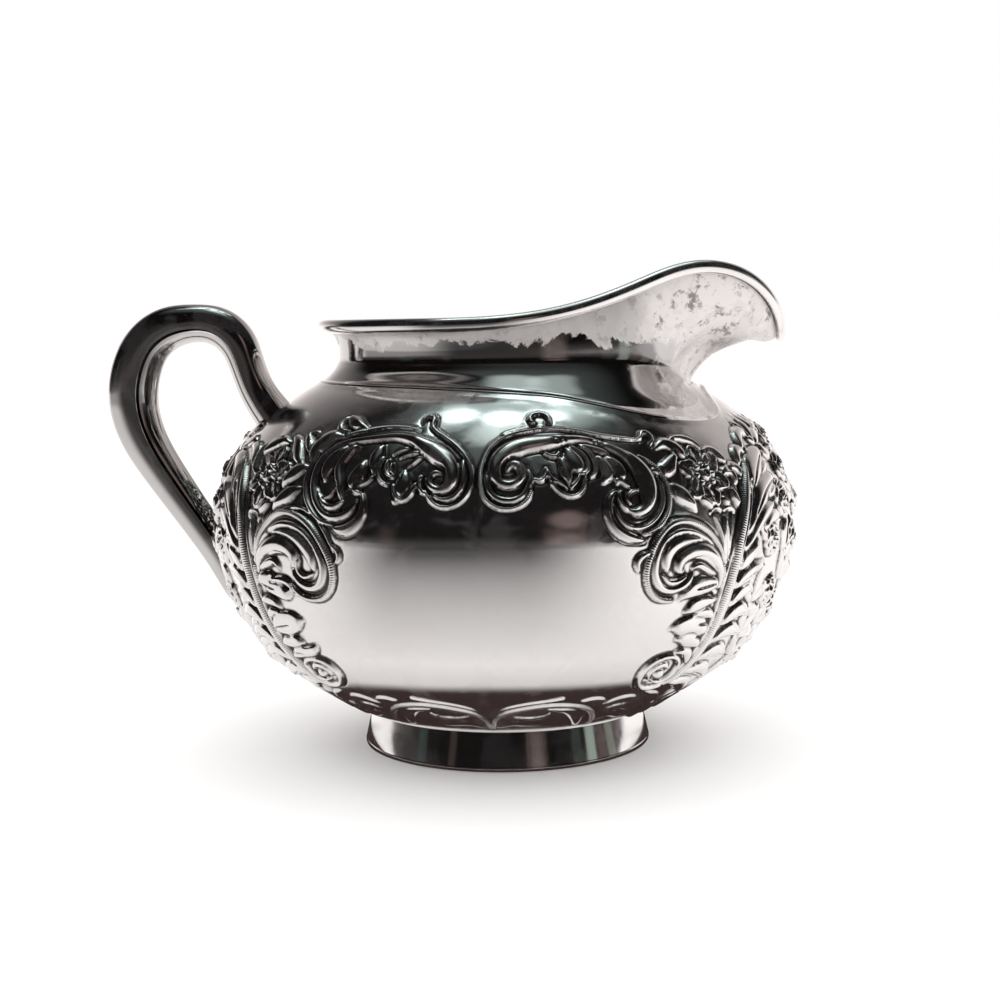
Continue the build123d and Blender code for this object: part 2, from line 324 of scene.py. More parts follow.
# the flower under the right end of the top scroll, with its leaves
sprigs([
    [(33.8, 16.6, 0.4), (36.0, 17.4, 0.9), (38.2, 16.4, 1.1), (39.4, 14.4, 0.4)],
    [(38.2, 18.2, 0.3), (40.6, 18.2, 0.6), (43.2, 17.2, 0.6), (44.4, 15.6, 0.3)],
    [(31.4, 12.6, 0.4), (33.6, 12.4, 1.1), (36.0, 13.8, 1.0), (37.6, 15.4, 0.3)],
    [(44.6, 15.0, 0.4), (46.8, 15.2, 0.9), (48.6, 13.9, 0.9), (49.2, 12.4, 0.3)],
    [(32.6, 9.8, 0.4), (34.6, 8.6, 1.2), (36.8, 7.0, 1.1), (38.2, 5.2, 0.3)],
    [(46.6, 10.2, 0.4), (48.2, 11.2, 0.8), (49.7, 10.9, 0.7), (50.1, 9.0, 0.4)],
    [(49.4, 11.4, 0.4), (51.0, 11.9, 0.8), (52.3, 10.9, 0.7), (52.3, 8.8, 0.3)],
    [(53.6, 12.0, 0.3), (54.2, 13.8, 0.9), (55.8, 14.8, 0.9), (57.4, 14.2, 0.4)],
    [(57.6, 14.8, 0.4), (59.4, 17.0, 1.1), (62.0, 18.2, 1.0), (64.4, 17.0, 0.3)],
    [(39.4, 7.0, 0.3), (41.0, 6.4, 0.7), (42.2, 4.9, 0.3)],
    [(47.6, 8.2, 0.3), (48.4, 6.6, 0.8), (48.9, 5.0, 0.3)],
    [(45.2, 6.6, 0.3), (46.0, 5.6, 0.6), (46.4, 4.6, 0.3)],
], high=0.9)
blossom(42.4, 10.9, 5.1, 6, start=98)

# the right side scroll: an outer milled wire, an inner band, and the leaf curled in it
emboss([(44.8, -8.4), (44.3, -4.9), (43.1, -1.9), (41.0, 0.8), (38.3, 2.7), (35.0, 3.6), (32.0, 3.0),
        (29.7, 1.0), (28.2, -1.9), (27.8, -4.9), (28.8, -7.5), (31.0, -9.2), (33.8, -9.6)],
       [0.4, 0.6, 0.65, 0.7, 0.75, 0.75, 0.75, 0.75, 0.7, 0.65, 0.65, 0.6, 0.4], 0.95, milled=0.4)
emboss([(44.0, -8.0), (43.0, -4.4), (41.3, -1.5), (38.7, 0.7), (35.4, 1.8), (32.5, 1.4), (30.4, -0.4),
        (29.3, -3.1), (29.8, -5.7), (31.6, -7.4), (34.0, -7.6), (36.2, -6.6), (37.2, -4.8)],
       [0.3, 0.6, 0.7, 0.7, 0.75, 0.75, 0.8, 0.8, 0.85, 0.85, 0.8, 0.7, 0.3], 0.85)
emboss([(40.2, -0.6), (37.2, 0.3), (34.2, 0.3), (32.0, -0.8), (31.3, -2.8), (31.8, -4.4)],
       [0.3, 0.8, 1.2, 1.4, 1.1, 0.4], 1.05)
emboss([(44.2, -8.4), (43.2, -5.2), (41.2, -2.8), (38.4, -1.5), (35.6, -1.7), (33.9, -2.9), (33.9, -4.3),
       (35.2, -4.7)],
       [0.4, 1.0, 1.5, 1.5, 1.35, 1.1, 0.8, 0.35], 1.35)
emboss([(30.9, -4.9), (32.3, -6.2), (34.2, -6.2), (35.7, -5.4)], [0.3, 0.6, 0.6, 0.3], 0.9)
emboss([(42.4, -5.8), (40.2, -4.8), (38.2, -3.9), (36.9, -4.3)], [0.3, 0.7, 0.7, 0.3], 0.85)
emboss([(28.2, -0.9), (26.9, -1.4), (26.0, -2.5), (26.3, -3.8)], [0.3, 0.7, 0.75, 0.4], 0.8)
chase([(42.4, -5.0), (39.4, -2.6), (36.0, -2.6)], 0.22, 0.3)

# the bud between scroll and stem
emboss([(44.5, 3.6), (44.6, 1.4), (44.7, -1.6), (44.8, -4.4)], [0.35, 0.75, 0.7, 0.3], 0.9)
chase([(44.6, 2.6), (44.8, -3.6)], 0.2, 0.4)
for strand in ([(42.2, 4.0), (43.5, 0.8), (44.2, -4.0)], [(46.8, 4.2), (45.8, 1.0), (45.3, -3.8)],
               [(41.4, 4.4), (42.6, 5.2), (44.2, 4.6)], [(44.9, 4.7), (46.4, 5.0), (47.6, 4.0)]):
    emboss(strand, [0.2, 0.4, 0.2], 0.6)

# the right main stem, milled along its back, with a plain wire each side
RIGHT_STEM = [(40.6, -28.6), (43.2, -24.6), (44.6, -21.0), (45.5, -18.0), (46.1, -14.7), (46.4, -11.3),
              (46.7, -8.0), (47.1, -4.7), (47.9, -1.0), (49.2, 2.2), (50.8, 5.3), (52.6, 8.6), (55.2, 12.4)]
emboss([(41.6, -25.4), (43.6, -20.6), (44.8, -15.0), (45.1, -9.0), (45.8, -4.2), (47.4, 0.2), (49.6, 4.8),
       (51.8, 9.4)],
       [0.2, 0.35, 0.4, 0.4, 0.4, 0.4, 0.4, 0.3], 0.7)
emboss([(44.4, -24.4), (46.6, -19.0), (47.8, -13.0), (48.1, -8.0), (48.8, -3.4), (50.2, 0.8), (52.4, 5.0),
       (54.4, 8.4)],
       [0.2, 0.35, 0.4, 0.4, 0.4, 0.4, 0.4, 0.3], 0.7)
emboss(RIGHT_STEM, [0.5, 0.8, 0.95, 1.0, 1.05, 1.1, 1.1, 1.1, 1.1, 1.1, 1.1, 0.9, 0.4], 1.25, milled=0.4)

# The left half: leaves on the panel side of the stem
sprigs([
    [(-45.4, -6.6, 0.5), (-42.4, -6.7, 1.6), (-39.4, -7.6, 1.7), (-37.2, -8.6, 1.0), (-35.8, -7.8, 0.4)],
    [(-40.2, -6.2, 0.3), (-37.6, -6.0, 0.55), (-35.4, -6.8, 0.55), (-34.7, -8.4, 0.3)],
    [(-45.6, -10.6, 0.4), (-43.0, -10.3, 0.9), (-41.2, -10.6, 0.7), (-40.2, -11.5, 0.3)],
    [(-45.2, -13.6, 0.5), (-42.9, -12.5, 0.8), (-41.6, -12.8, 0.4)],
    [(-45.0, -15.9, 0.6), (-42.1, -15.0, 1.8), (-39.0, -14.2, 1.8), (-36.6, -13.6, 1.3),
     (-35.2, -13.4, 0.4)],
    [(-44.4, -18.8, 0.5), (-41.6, -18.3, 1.1), (-39.1, -17.9, 1.0), (-37.7, -18.1, 0.4)],
    [(-43.1, -21.6, 0.4), (-40.2, -20.5, 1.1), (-37.1, -20.0, 1.0), (-34.9, -19.1, 0.7),
     (-33.9, -18.2, 0.2)],
], high=1.05)
for vein in ([(-44.4, -7.2), (-39.4, -7.9)], [(-44.0, -15.6), (-38.6, -14.4)], [(-43.4, -17.0),
    (-40.2, -17.0)],
             [(-42.6, -20.8), (-38.4, -20.2)]):
    chase(vein, 0.24, 0.4)
emboss([(-45.6, -21.6), (-44.4, -24.8), (-42.2, -27.2), (-39.2, -28.7), (-36.0, -28.4), (-33.4, -26.8),
        (-32.2, -24.4), (-33.1, -22.4), (-35.7, -21.5), (-38.9, -21.9), (-41.2, -23.5), (-41.0, -25.7),
        (-39.0, -26.8), (-36.8, -26.6)],
       [0.5, 0.6, 0.75, 0.8, 0.75, 0.7, 0.7, 0.7, 0.65, 0.6, 0.6, 0.6, 0.6, 0.4], 0.95)
emboss([(-34.8, -25.4), (-34.9, -23.9), (-36.8, -23.2), (-38.8, -23.6), (-39.6, -24.6)],
       [0.4, 0.6, 0.7, 0.6, 0.3], 0.7)
boss(-37.3, -25.0, 1.2, 1.1)

# the left flower and its leaves
sprigs([
    [(-36.2, 14.0, 0.4), (-38.4, 15.6, 1.0), (-40.4, 17.8, 1.0), (-42.8, 19.4, 0.4)],
    [(-35.4, 16.4, 0.4), (-37.0, 18.0, 0.8), (-38.4, 19.8, 0.5), (-37.0, 20.6, 0.3)],
    [(-33.8, 13.4, 0.4), (-35.6, 13.0, 1.0), (-37.6, 11.8, 1.1), (-38.8, 10.0, 0.4)],
    [(-44.0, 18.0, 0.4), (-46.6, 18.2, 1.0), (-49.2, 17.0, 1.0), (-50.8, 15.2, 0.4)],
    [(-34.0, 9.6, 0.4), (-35.8, 8.8, 1.1), (-38.0, 7.6, 1.1), (-39.8, 6.0, 0.3)],
    [(-50.0, 11.6, 0.4), (-51.4, 13.2, 1.0), (-52.0, 15.4, 1.0), (-51.0, 17.2, 0.3)],
    [(-52.4, 12.8, 0.4), (-54.2, 15.0, 1.0), (-57.0, 16.4, 0.9), (-59.4, 16.0, 0.3)],
    [(-49.4, 8.6, 0.3), (-49.9, 6.8, 0.8), (-50.2, 5.2, 0.3)],
    [(-41.2, 6.8, 0.3), (-42.6, 6.0, 0.7), (-43.6, 4.8, 0.3)],
], high=0.9)
blossom(-44.4, 11.2, 5.3, 6, start=82)

# the left side scroll
emboss([(-45.4, -7.4), (-44.8, -3.4), (-43.4, -0.2), (-41.0, 3.1), (-37.7, 5.2), (-33.7, 5.1), (-29.9, 3.4),
        (-27.2, 0.7), (-25.6, -2.3), (-25.6, -5.2), (-27.3, -7.8), (-30.1, -8.9), (-33.2, -8.4),
        (-35.0, -6.8)],
       [0.4, 0.55, 0.6, 0.7, 0.75, 0.75, 0.75, 0.75, 0.75, 0.7, 0.65, 0.6, 0.6, 0.3], 0.95, milled=0.4)
emboss([(-44.6, -6.4), (-43.4, -2.4), (-40.9, 1.0), (-37.8, 3.1), (-34.2, 3.3), (-30.8, 2.0), (-28.4, -0.4),
        (-27.3, -3.0), (-28.2, -5.7), (-30.7, -6.9), (-33.2, -6.0), (-34.4, -4.0)],
       [0.3, 0.6, 0.7, 0.75, 0.75, 0.8, 0.8, 0.85, 0.85, 0.85, 0.75, 0.3], 0.85)
emboss([(-39.6, 1.8), (-36.4, 2.0), (-33.2, 1.5), (-30.8, 0.0), (-29.5, -1.9), (-29.5, -3.6)],
       [0.3, 0.7, 1.1, 1.3, 1.1, 0.4], 1.05)
emboss([(-44.4, -5.4), (-42.2, -2.1), (-38.9, -0.2), (-35.6, -0.1), (-33.6, -1.3), (-33.4, -2.9),
       (-34.4, -3.6)],
       [0.4, 1.2, 1.7, 1.6, 1.3, 0.9, 0.35], 1.35)
emboss([(-32.4, -2.2), (-32.8, -4.0), (-31.4, -5.0), (-30.0, -4.4)], [0.3, 0.6, 0.6, 0.3], 0.9)
emboss([(-43.4, -4.7), (-41.2, -3.6), (-38.8, -3.0), (-37.8, -4.2)], [0.3, 0.8, 0.7, 0.3], 0.85)
emboss([(-36.8, 6.0), (-33.0, 6.3), (-29.4, 5.1), (-26.5, 2.4), (-24.9, -0.6)], [0.2, 0.4, 0.4, 0.4, 0.2],
       0.7)
emboss([(-25.2, 0.6), (-24.2, -0.2), (-23.9, -1.3), (-24.6, -2.2)], [0.2, 0.55, 0.6, 0.3], 0.7)
chase([(-43.0, -4.0), (-39.2, -1.4), (-35.4, -1.4)], 0.22, 0.3)

# the left bud and stem
emboss([(-45.3, 3.6), (-45.4, 1.6), (-45.3, -0.6), (-45.3, -2.6)], [0.35, 0.8, 0.75, 0.3], 0.9)
chase([(-45.4, 2.6), (-45.3, -1.8)], 0.2, 0.4)
for strand in ([(-46.9, 3.6), (-47.0, 4.8), (-45.2, 5.0), (-43.6, 4.4), (-43.8, 3.0)], [(-43.2, 3.2),
    (-44.0, 0.4), (-44.8, -3.8)]):
    emboss(strand, [0.2] + [0.4] * (len(strand) - 2) + [0.2], 0.6)
LEFT_STEM = [(-40.2, -28.8), (-42.6, -25.2), (-44.4, -21.6), (-45.7, -18.0), (-46.6, -14.2), (-47.3, -10.0),
             (-47.6, -6.0), (-48.0, -2.0), (-48.8, 2.0), (-50.2, 6.0), (-52.4, 9.6), (-55.4, 12.8)]
emboss([(-42.0, -24.6), (-44.2, -19.6), (-45.3, -13.8), (-46.0, -8.0), (-46.4, -3.0), (-47.2, 2.2),
       (-48.8, 6.6), (-50.4, 9.6)],
       [0.2, 0.35, 0.4, 0.4, 0.4, 0.4, 0.4, 0.3], 0.7)
emboss([(-44.0, -25.0), (-46.6, -20.0), (-48.2, -14.0), (-49.0, -8.0), (-49.6, -2.6), (-50.8, 2.0),
       (-53.0, 6.2), (-55.0, 8.8)],
       [0.2, 0.35, 0.4, 0.4, 0.4, 0.4, 0.4, 0.3], 0.7)
emboss(LEFT_STEM, [0.5, 0.8, 0.95, 1.0, 1.05, 1.1, 1.1, 1.1, 1.1, 1.1, 0.9, 0.4], 1.25, milled=0.4)

# The top right scroll: two volutes joined by a broad band, acanthus hanging inside
emboss([(13.4, 22.5), (13.7, 24.0), (12.6, 25.2), (11.0, 25.1), (9.9, 24.3), (9.9, 23.2), (10.9, 23.2)],
       [0.3, 0.5, 0.6, 0.6, 0.55, 0.5, 0.3], 0.75)
emboss([(12.6, 22.4), (10.0, 21.9), (7.0, 21.4), (4.2, 20.6)], [0.2, 0.3, 0.3, 0.15], 0.35)
emboss([(30.3, 18.6), (31.6, 19.0), (32.3, 19.9), (33.5, 19.6), (33.9, 18.4), (33.2, 17.5)],
       [0.3, 0.5, 0.6, 0.6, 0.5, 0.3], 0.8)
emboss([(29.6, 15.4), (31.9, 13.3), (33.1, 10.3), (33.1, 7.3), (31.9, 4.7), (29.9, 3.0), (27.4, 2.1)],
       [0.2, 0.45, 0.5, 0.5, 0.5, 0.45, 0.2], 0.6, milled=0.38)
emboss([(23.3, 9.4), (22.1, 8.3), (21.4, 6.6), (21.5, 4.8), (22.6, 3.1), (24.3, 1.9), (26.0, 1.3),
       (27.2, 1.0)],
       [0.3, 0.75, 0.9, 1.0, 1.1, 1.0, 0.75, 0.35], 0.9)
emboss([(31.6, 11.4), (32.0, 8.6), (31.1, 5.9), (29.2, 4.0), (27.0, 3.1), (24.6, 3.4), (23.0, 5.0),
       (22.6, 7.2)],
       [0.2, 0.4, 0.45, 0.45, 0.45, 0.45, 0.4, 0.2], 0.7)
sprigs([
    [(14.9, 14.8, 0.9), (15.0, 13.0, 0.9), (15.2, 11.4, 0.55), (15.3, 10.3, 0.2)],
    [(15.8, 17.4, 0.4), (16.4, 15.6, 1.2), (17.2, 13.8, 1.1), (17.4, 12.5, 0.4)],
    [(20.4, 15.6, 0.4), (22.0, 14.0, 1.0), (22.4, 12.4, 1.0), (21.3, 11.0, 0.5)],
    [(22.8, 15.2, 0.4), (24.4, 13.6, 0.9), (24.8, 12.0, 0.85), (23.8, 10.8, 0.4)],
    [(18.3, 17.8, 0.3), (20.6, 17.0, 0.55), (22.4, 16.2, 0.6), (23.5, 15.5, 0.2)],
], high=0.95)
for wire in ([(9.1, 12.2), (10.2, 11.5), (11.2, 12.2), (11.7, 13.8)],
             [(11.9, 13.4), (12.4, 11.8), (13.6, 11.1), (14.7, 10.1)], [(15.5, 10.1), (16.5, 11.1),
              (17.4, 12.5)],
             [(12.0, 11.4), (13.2, 9.8), (15.0, 8.8), (16.8, 9.2), (17.9, 10.8), (18.4, 12.4)],
             [(16.5, 17.7), (18.4, 16.3), (19.2, 14.4), (18.8, 12.8), (17.7, 12.5)],
             [(18.4, 17.4), (20.0, 16.2), (20.5, 14.2), (20.1, 12.4), (19.1, 11.9)],
             [(23.3, 11.2), (24.8, 10.6), (25.8, 9.7)], [(11.4, 16.8), (12.6, 16.0), (13.8, 15.9),
              (14.3, 16.8)],
             [(24.1, 9.4), (23.6, 8.0), (24.2, 6.6), (25.6, 5.8), (27.6, 5.7), (29.4, 6.4)],
             [(27.2, 9.2), (25.7, 8.9), (25.0, 7.8), (25.5, 6.8)]):
    emboss(wire, [0.25] + [0.45] * (len(wire) - 2) + [0.25], 0.8)
emboss([(1.7, 13.6), (1.4, 11.4), (2.3, 9.3), (4.5, 8.3), (6.9, 8.8), (8.3, 10.4), (8.7, 12.3),
       (8.0, 14.2)],
       [0.5, 0.65, 0.7, 0.75, 0.7, 0.65, 0.6, 0.3], 0.75)
emboss([(25.2, 6.0), (26.4, 5.6), (28.0, 6.2), (29.0, 8.0), (29.3, 10.6), (28.5, 13.2), (26.4, 15.7),
       (23.8, 17.4),
        (20.6, 18.7), (17.5, 19.2), (14.5, 18.9), (11.0, 18.5), (7.6, 18.0), (4.9, 16.7), (3.2, 14.9),
        (2.7, 13.0),
        (3.4, 11.5), (5.0, 10.9), (6.6, 11.5), (7.3, 12.9), (6.8, 14.2), (5.5, 14.4), (4.8, 13.5)],
       [0.4, 0.8, 1.1, 1.6, 1.9, 1.7, 1.0, 0.8, 0.8, 0.9, 1.2, 1.6, 1.8, 1.9, 1.6, 1.2, 0.95, 0.9, 0.9,
        0.95, 1.0, 0.8, 0.4],
       1.3)
emboss([(8.9, 10.0), (8.2, 8.6), (6.8, 7.4), (4.7, 6.9), (2.8, 7.3), (1.2, 8.6), (0.4, 10.4), (0.2, 12.2),
       (0.4, 14.2),
        (1.0, 16.2), (2.2, 18.2), (4.2, 19.7), (6.6, 20.6), (9.0, 21.1), (11.6, 21.5), (15.0, 21.5),
        (18.5, 21.0),
        (21.5, 20.2), (25.0, 19.4), (28.0, 18.9), (30.4, 18.6)],
       [0.25] + [0.45] * 19 + [0.3], 0.75, milled=0.38)
for u, v in ((14.0, 18.7), (15.4, 18.5), (21.6, 18.2), (22.6, 17.9)):
    boss(u, v, 0.42, 1.0, 0.5)

# The top left scroll: the same idea by the same hand, plainer in its band, fuller in its leaves
emboss([(-30.6, 19.1), (-27.6, 20.4), (-25.0, 21.2), (-22.0, 21.9), (-18.6, 22.3), (-15.2, 22.2),
       (-12.6, 21.6)],
       [0.2, 0.5, 0.6, 0.6, 0.5, 0.4, 0.2], 0.5, milled=0.38)
sprigs([
    [(-29.6, 20.0, 0.5), (-31.8, 19.6, 1.3), (-33.6, 18.0, 1.5), (-34.3, 16.2, 1.0), (-34.2, 14.8, 0.3)],
    [(-24.5, 21.9, 0.3), (-26.6, 22.5, 0.8), (-28.7, 23.4, 1.0), (-30.2, 24.2, 0.5)],
    [(-30.6, 24.0, 0.3), (-31.3, 22.4, 0.6), (-30.4, 21.1, 0.5), (-28.8, 20.9, 0.3)],
    [(-13.3, 13.6, 0.4), (-13.0, 11.8, 1.0), (-13.2, 10.0, 1.3), (-13.9, 8.5, 0.7)],
    [(-21.6, 15.0, 0.4), (-21.9, 13.3, 1.1), (-22.3, 11.4, 1.3), (-21.5, 10.1, 0.6)],
    [(-18.9, 18.0, 0.4), (-19.4, 16.2, 1.1), (-19.2, 14.2, 0.9), (-18.9, 12.6, 0.3)],
    [(-24.6, 17.8, 0.4), (-25.9, 16.2, 0.8), (-26.6, 14.0, 0.8), (-26.0, 12.0, 0.7), (-25.0, 10.0, 0.6),
     (-24.4, 8.4, 0.3)],
], high=0.95)
emboss([(-27.0, 17.6), (-28.5, 15.7), (-29.2, 13.4), (-28.9, 11.6)], [0.7, 1.5, 1.4, 0.6],
       0.85, form=pillowed, grain_by=0.5)
for wire in ([(-10.2, 12.5), (-10.3, 11.0), (-9.5, 9.8), (-8.4, 9.2)],
             [(-14.9, 11.0), (-14.3, 9.2), (-12.8, 8.3), (-11.4, 9.4), (-10.9, 11.2)],
             [(-13.3, 13.9), (-12.2, 14.6), (-11.2, 15.7), (-10.1, 16.1)],
             [(-17.8, 15.8), (-18.4, 13.7), (-17.6, 11.8), (-16.0, 10.9)],
             [(-16.9, 15.4), (-17.0, 13.8), (-16.2, 12.6), (-15.1, 12.2)],
             [(-15.9, 14.8), (-15.9, 13.6), (-15.2, 12.9)], [(-16.3, 16.4), (-15.0, 17.3), (-13.3, 17.6)],
             [(-14.7, 15.8), (-13.0, 16.6), (-11.2, 16.8), (-9.6, 16.4)],
             [(-19.1, 12.2), (-20.2, 11.1), (-21.8, 10.4), (-22.1, 9.7), (-20.7, 9.4)],
             [(-29.9, 9.2), (-28.7, 8.4), (-27.3, 8.3), (-26.4, 9.3), (-26.1, 10.6)]):
    emboss(wire, [0.25] + [0.45] * (len(wire) - 2) + [0.25], 0.8)
emboss([(-20.4, 9.2), (-19.7, 7.4), (-19.9, 5.5), (-21.2, 3.9), (-23.2, 3.1), (-25.2, 3.5)],
       [0.4, 0.8, 1.0, 1.15, 1.0, 0.4], 0.9)
emboss([(-33.0, 16.2), (-33.5, 13.2), (-33.1, 10.3), (-31.9, 7.9), (-30.0, 5.9), (-27.6, 4.4),
       (-25.2, 3.9)],
       [0.2, 0.45, 0.5, 0.5, 0.5, 0.45, 0.2], 0.65)
emboss([(-30.0, 9.8), (-28.9, 8.0), (-27.3, 7.0), (-25.4, 6.8), (-24.0, 7.8)], [0.3, 0.7, 0.8, 0.7, 0.3],
       1.0)
emboss([(-21.2, 8.2), (-22.2, 6.4), (-24.0, 5.3), (-26.0, 5.2), (-27.9, 6.1), (-29.6, 7.8), (-30.8, 9.8),
       (-31.5, 12.2),
        (-31.3, 14.6), (-30.0, 16.8), (-27.8, 18.2), (-24.8, 19.1), (-20.4, 19.7), (-16.8, 20.0),
        (-13.2, 19.4),
        (-10.2, 18.1), (-7.4, 16.4), (-5.4, 14.3), (-4.6, 12.2), (-5.1, 10.7), (-6.7, 10.1), (-8.2, 10.8),
        (-8.6, 12.2), (-7.6, 13.2), (-6.5, 12.9)],
       [0.3, 0.6, 0.75, 0.8, 0.8, 0.8, 0.8, 0.8, 0.8, 0.75, 0.75, 0.75, 0.8, 0.85, 1.1, 1.6, 1.9, 1.75,
        1.35, 1.05, 0.85,
        0.75, 0.7, 0.6, 0.35], 1.3)
emboss([(-3.0, 15.6), (-2.5, 12.8), (-2.9, 10.4), (-4.4, 8.8), (-6.4, 8.6), (-7.9, 9.4)],
       [0.25, 0.5, 0.55, 0.6, 0.5, 0.25], 0.7)
emboss([(-12.2, 23.2), (-12.2, 24.4), (-11.0, 24.8), (-10.0, 24.0), (-10.0, 22.6), (-8.2, 20.8),
       (-5.7, 19.2),
        (-3.6, 17.4), (-2.0, 15.3), (-1.2, 13.0), (-1.4, 10.6), (-2.5, 8.6), (-4.5, 7.4), (-6.6, 7.5),
        (-8.1, 8.6), (-9.0, 10.0)],
       [0.25, 0.5, 0.55, 0.5] + [0.45] * 11 + [0.25], 0.75)

# The pair of flat scrolls over the foot
for flip, shift in ((1, 0.0), (-1, -0.8)):
    def across(points):
        return [(flip * x + shift, y) for x, y in points]

    emboss(across([(1.2, -36.2), (2.5, -34.6), (5.0, -33.1), (8.0, -32.1), (11.0, -31.5), (14.0, -31.0),
           (16.6, -30.5)]),
           [0.2, 0.35, 0.4, 0.4, 0.4, 0.4, 0.45], 0.55)
    emboss(across([(14.0, -34.8), (18.0, -35.2), (21.5, -37.0), (24.0, -40.0), (25.5, -42.8)]),
           [0.4, 0.9, 1.3, 1.1, 0.6], 0.8)
    emboss(across([(5.0, -37.2), (8.0, -38.2), (11.5, -38.4), (14.0, -37.6), (15.2, -36.4)]),
           [0.3, 0.6, 0.7, 0.6, 0.3], 0.8)
    emboss(across([(-0.1, -43.5), (0.2, -40.6), (1.3, -38.0), (4.0, -35.6), (8.0, -34.1), (12.0, -33.2),
           (16.0, -33.0),
                   (20.0, -33.7), (24.0, -35.2), (27.4, -37.7), (29.5, -40.6), (30.3, -43.4)]),
           [0.3, 0.5, 0.7, 0.8, 0.85, 0.85, 0.8, 0.75, 0.7, 0.65, 0.6, 0.4], 0.85, milled=0.42)
    sprigs([
        [(2.0, -42.6, 0.3), (5.0, -40.8, 0.8), (9.0, -40.9, 0.9), (13.0, -41.8, 0.4)],
        [(21.6, -32.0, 0.3), (24.0, -31.7, 0.7), (26.6, -32.2, 0.5), (28.0, -33.4, 0.2)],
        [(28.2, -34.6, 0.3), (31.0, -33.2, 0.9), (34.4, -33.0, 1.0), (37.6, -34.6, 0.4)],
        [(29.6, -37.4, 0.3), (32.6, -36.4, 0.9), (36.0, -36.8, 1.0), (39.4, -38.6, 0.4)],
        [(31.2, -41.6, 0.3), (34.2, -40.0, 0.9), (37.8, -40.6, 1.0), (41.0, -42.6, 0.4)],
        [(38.6, -31.6, 0.3), (42.0, -33.4, 0.9), (45.6, -36.2, 1.0), (48.0, -39.6, 0.4)],
    ], high=0.75, u=shift, flip=flip)


def soften(field, reach):
    """A small blur of a field on the layout; reach is in steps of the layout."""
    size = int(reach * 2.6) + 1
    weights = np.exp(-0.5 * (np.arange(-size, size + 1) / reach) ** 2)
    weights /= weights.sum()
    wider = np.pad(field, size, mode="edge")
    tall, broad = field.shape
    wider = sum(w * wider[i:i + tall] for i, w in enumerate(weights))
    return sum(w * wider[:, i:i + broad] for i, w in enumerate(weights))


def eased(value, start, end):
    """0 before start, 1 after end, turning smoothly between them."""
    share = np.clip((value - start) / (end - start), 0, 1)
    return share * share * (3 - 2 * share)


# how far out the flared skirt reaches on the shoulder, by the turn from the tip: it swells into
# a wing on each side of the lip
SKIRT = flowing([
    (0, 37.6), (8, 37.9), (15, 39.3), (21, 41.9), (28, 43.6), (38, 43.7), (48, 42.8), (54, 41.7),
    (61, 40.1),
    (67, 38.7), (74, 37.4), (84, 36.4), (95, 35.6), (112, 34.8), (130, 34.3), (150, 34.0), (181, 34.0),
], 200)

# the hammer leaves the ground between the leaves a little low and uneven
crowd = np.clip(soften((relief > 0.12).astype(float), 1.6 / STEP) * 2.0, 0, 1)
relief = 0.80 * soften(relief, 0.13 / STEP) + 0.32 * soften(relief * crowd, 1.2 / STEP)
relief += soften(fine, 0.07 / STEP)
relief *= 0.55 + 0.45 * eased(V, -32.0, -27.5)
highest = 67.0 - 4.0 * eased(U, 44.0, 60.0)
relief *= (1 - eased(bowl_height(V), highest - 3.5, highest)) * eased(V, FOOT_V, FOOT_V + 2.0)
# the shoulder rises in a little fillet of solder to the edge of the neck's skirt
skirt_v = np.interp(-np.interp(90 - np.degrees(angle), SKIRT[:, 0], SKIRT[:, 1]), -section[above, 0],
    along[above])
short_of = skirt_v[None, :] - V
relief += 0.15 * (1 - eased(short_of, 0.0, 1.8)) * eased(short_of, -0.9, -0.1)
hollow = soften(relief, 0.45 / STEP) - relief
recess = np.clip(hollow * 4.4 - 0.14, 0, 1)


def laid_grid(name, places):
    """A grid whose crossings are put where the sheet is, in millimetres, one row after another."""
    tall, broad = places.shape[:2]
    bpy.ops.object.select_all(action="DESELECT")
    bpy.ops.mesh.primitive_grid_add(x_subdivisions=broad - 1, y_subdivisions=tall - 1, size=2)
    piece = bpy.context.object
    piece.name = name
    piece.data.name = name
    flat = np.empty(len(piece.data.vertices) * 3)
    piece.data.vertices.foreach_get("co", flat)
    flat = flat.reshape(-1, 3)
    column = np.rint((flat[:, 0] + 1) / 2 * (broad - 1)).astype(int)
    row = np.rint((flat[:, 1] + 1) / 2 * (tall - 1)).astype(int)
    piece.data.vertices.foreach_set("co", (places[row, column] / 1000).ravel())
    piece.data.update()
    return piece


def facing(places):
    """The direction the sheet faces at every crossing of a laid grid."""
    across_it = np.gradient(places, axis=1)
    up_it = np.gradient(places, axis=0)
    faces = np.cross(across_it, up_it)
    return faces / np.maximum(np.linalg.norm(faces, axis=2, keepdims=True), 1e-9)


# Rows of the near half, from the middle of its base up the outside, over the lip and down inside
slope_r = np.gradient(section[:, 0], along)
slope_z = np.gradient(section[:, 1], along)


def on_bowl(v, rise):
    """Places on the bowl's sheet, raised by rise square to it."""
    out = np.interp(v, along, slope_z)
    up = -np.interp(v, along, slope_r)
    radius = bowl_radius(v) + rise * out
    height = bowl_height(v) + rise * up
    turn = np.broadcast_to(angle[None, :], radius.shape)
    return np.dstack([radius * np.sin(turn), -radius * np.cos(turn), height])


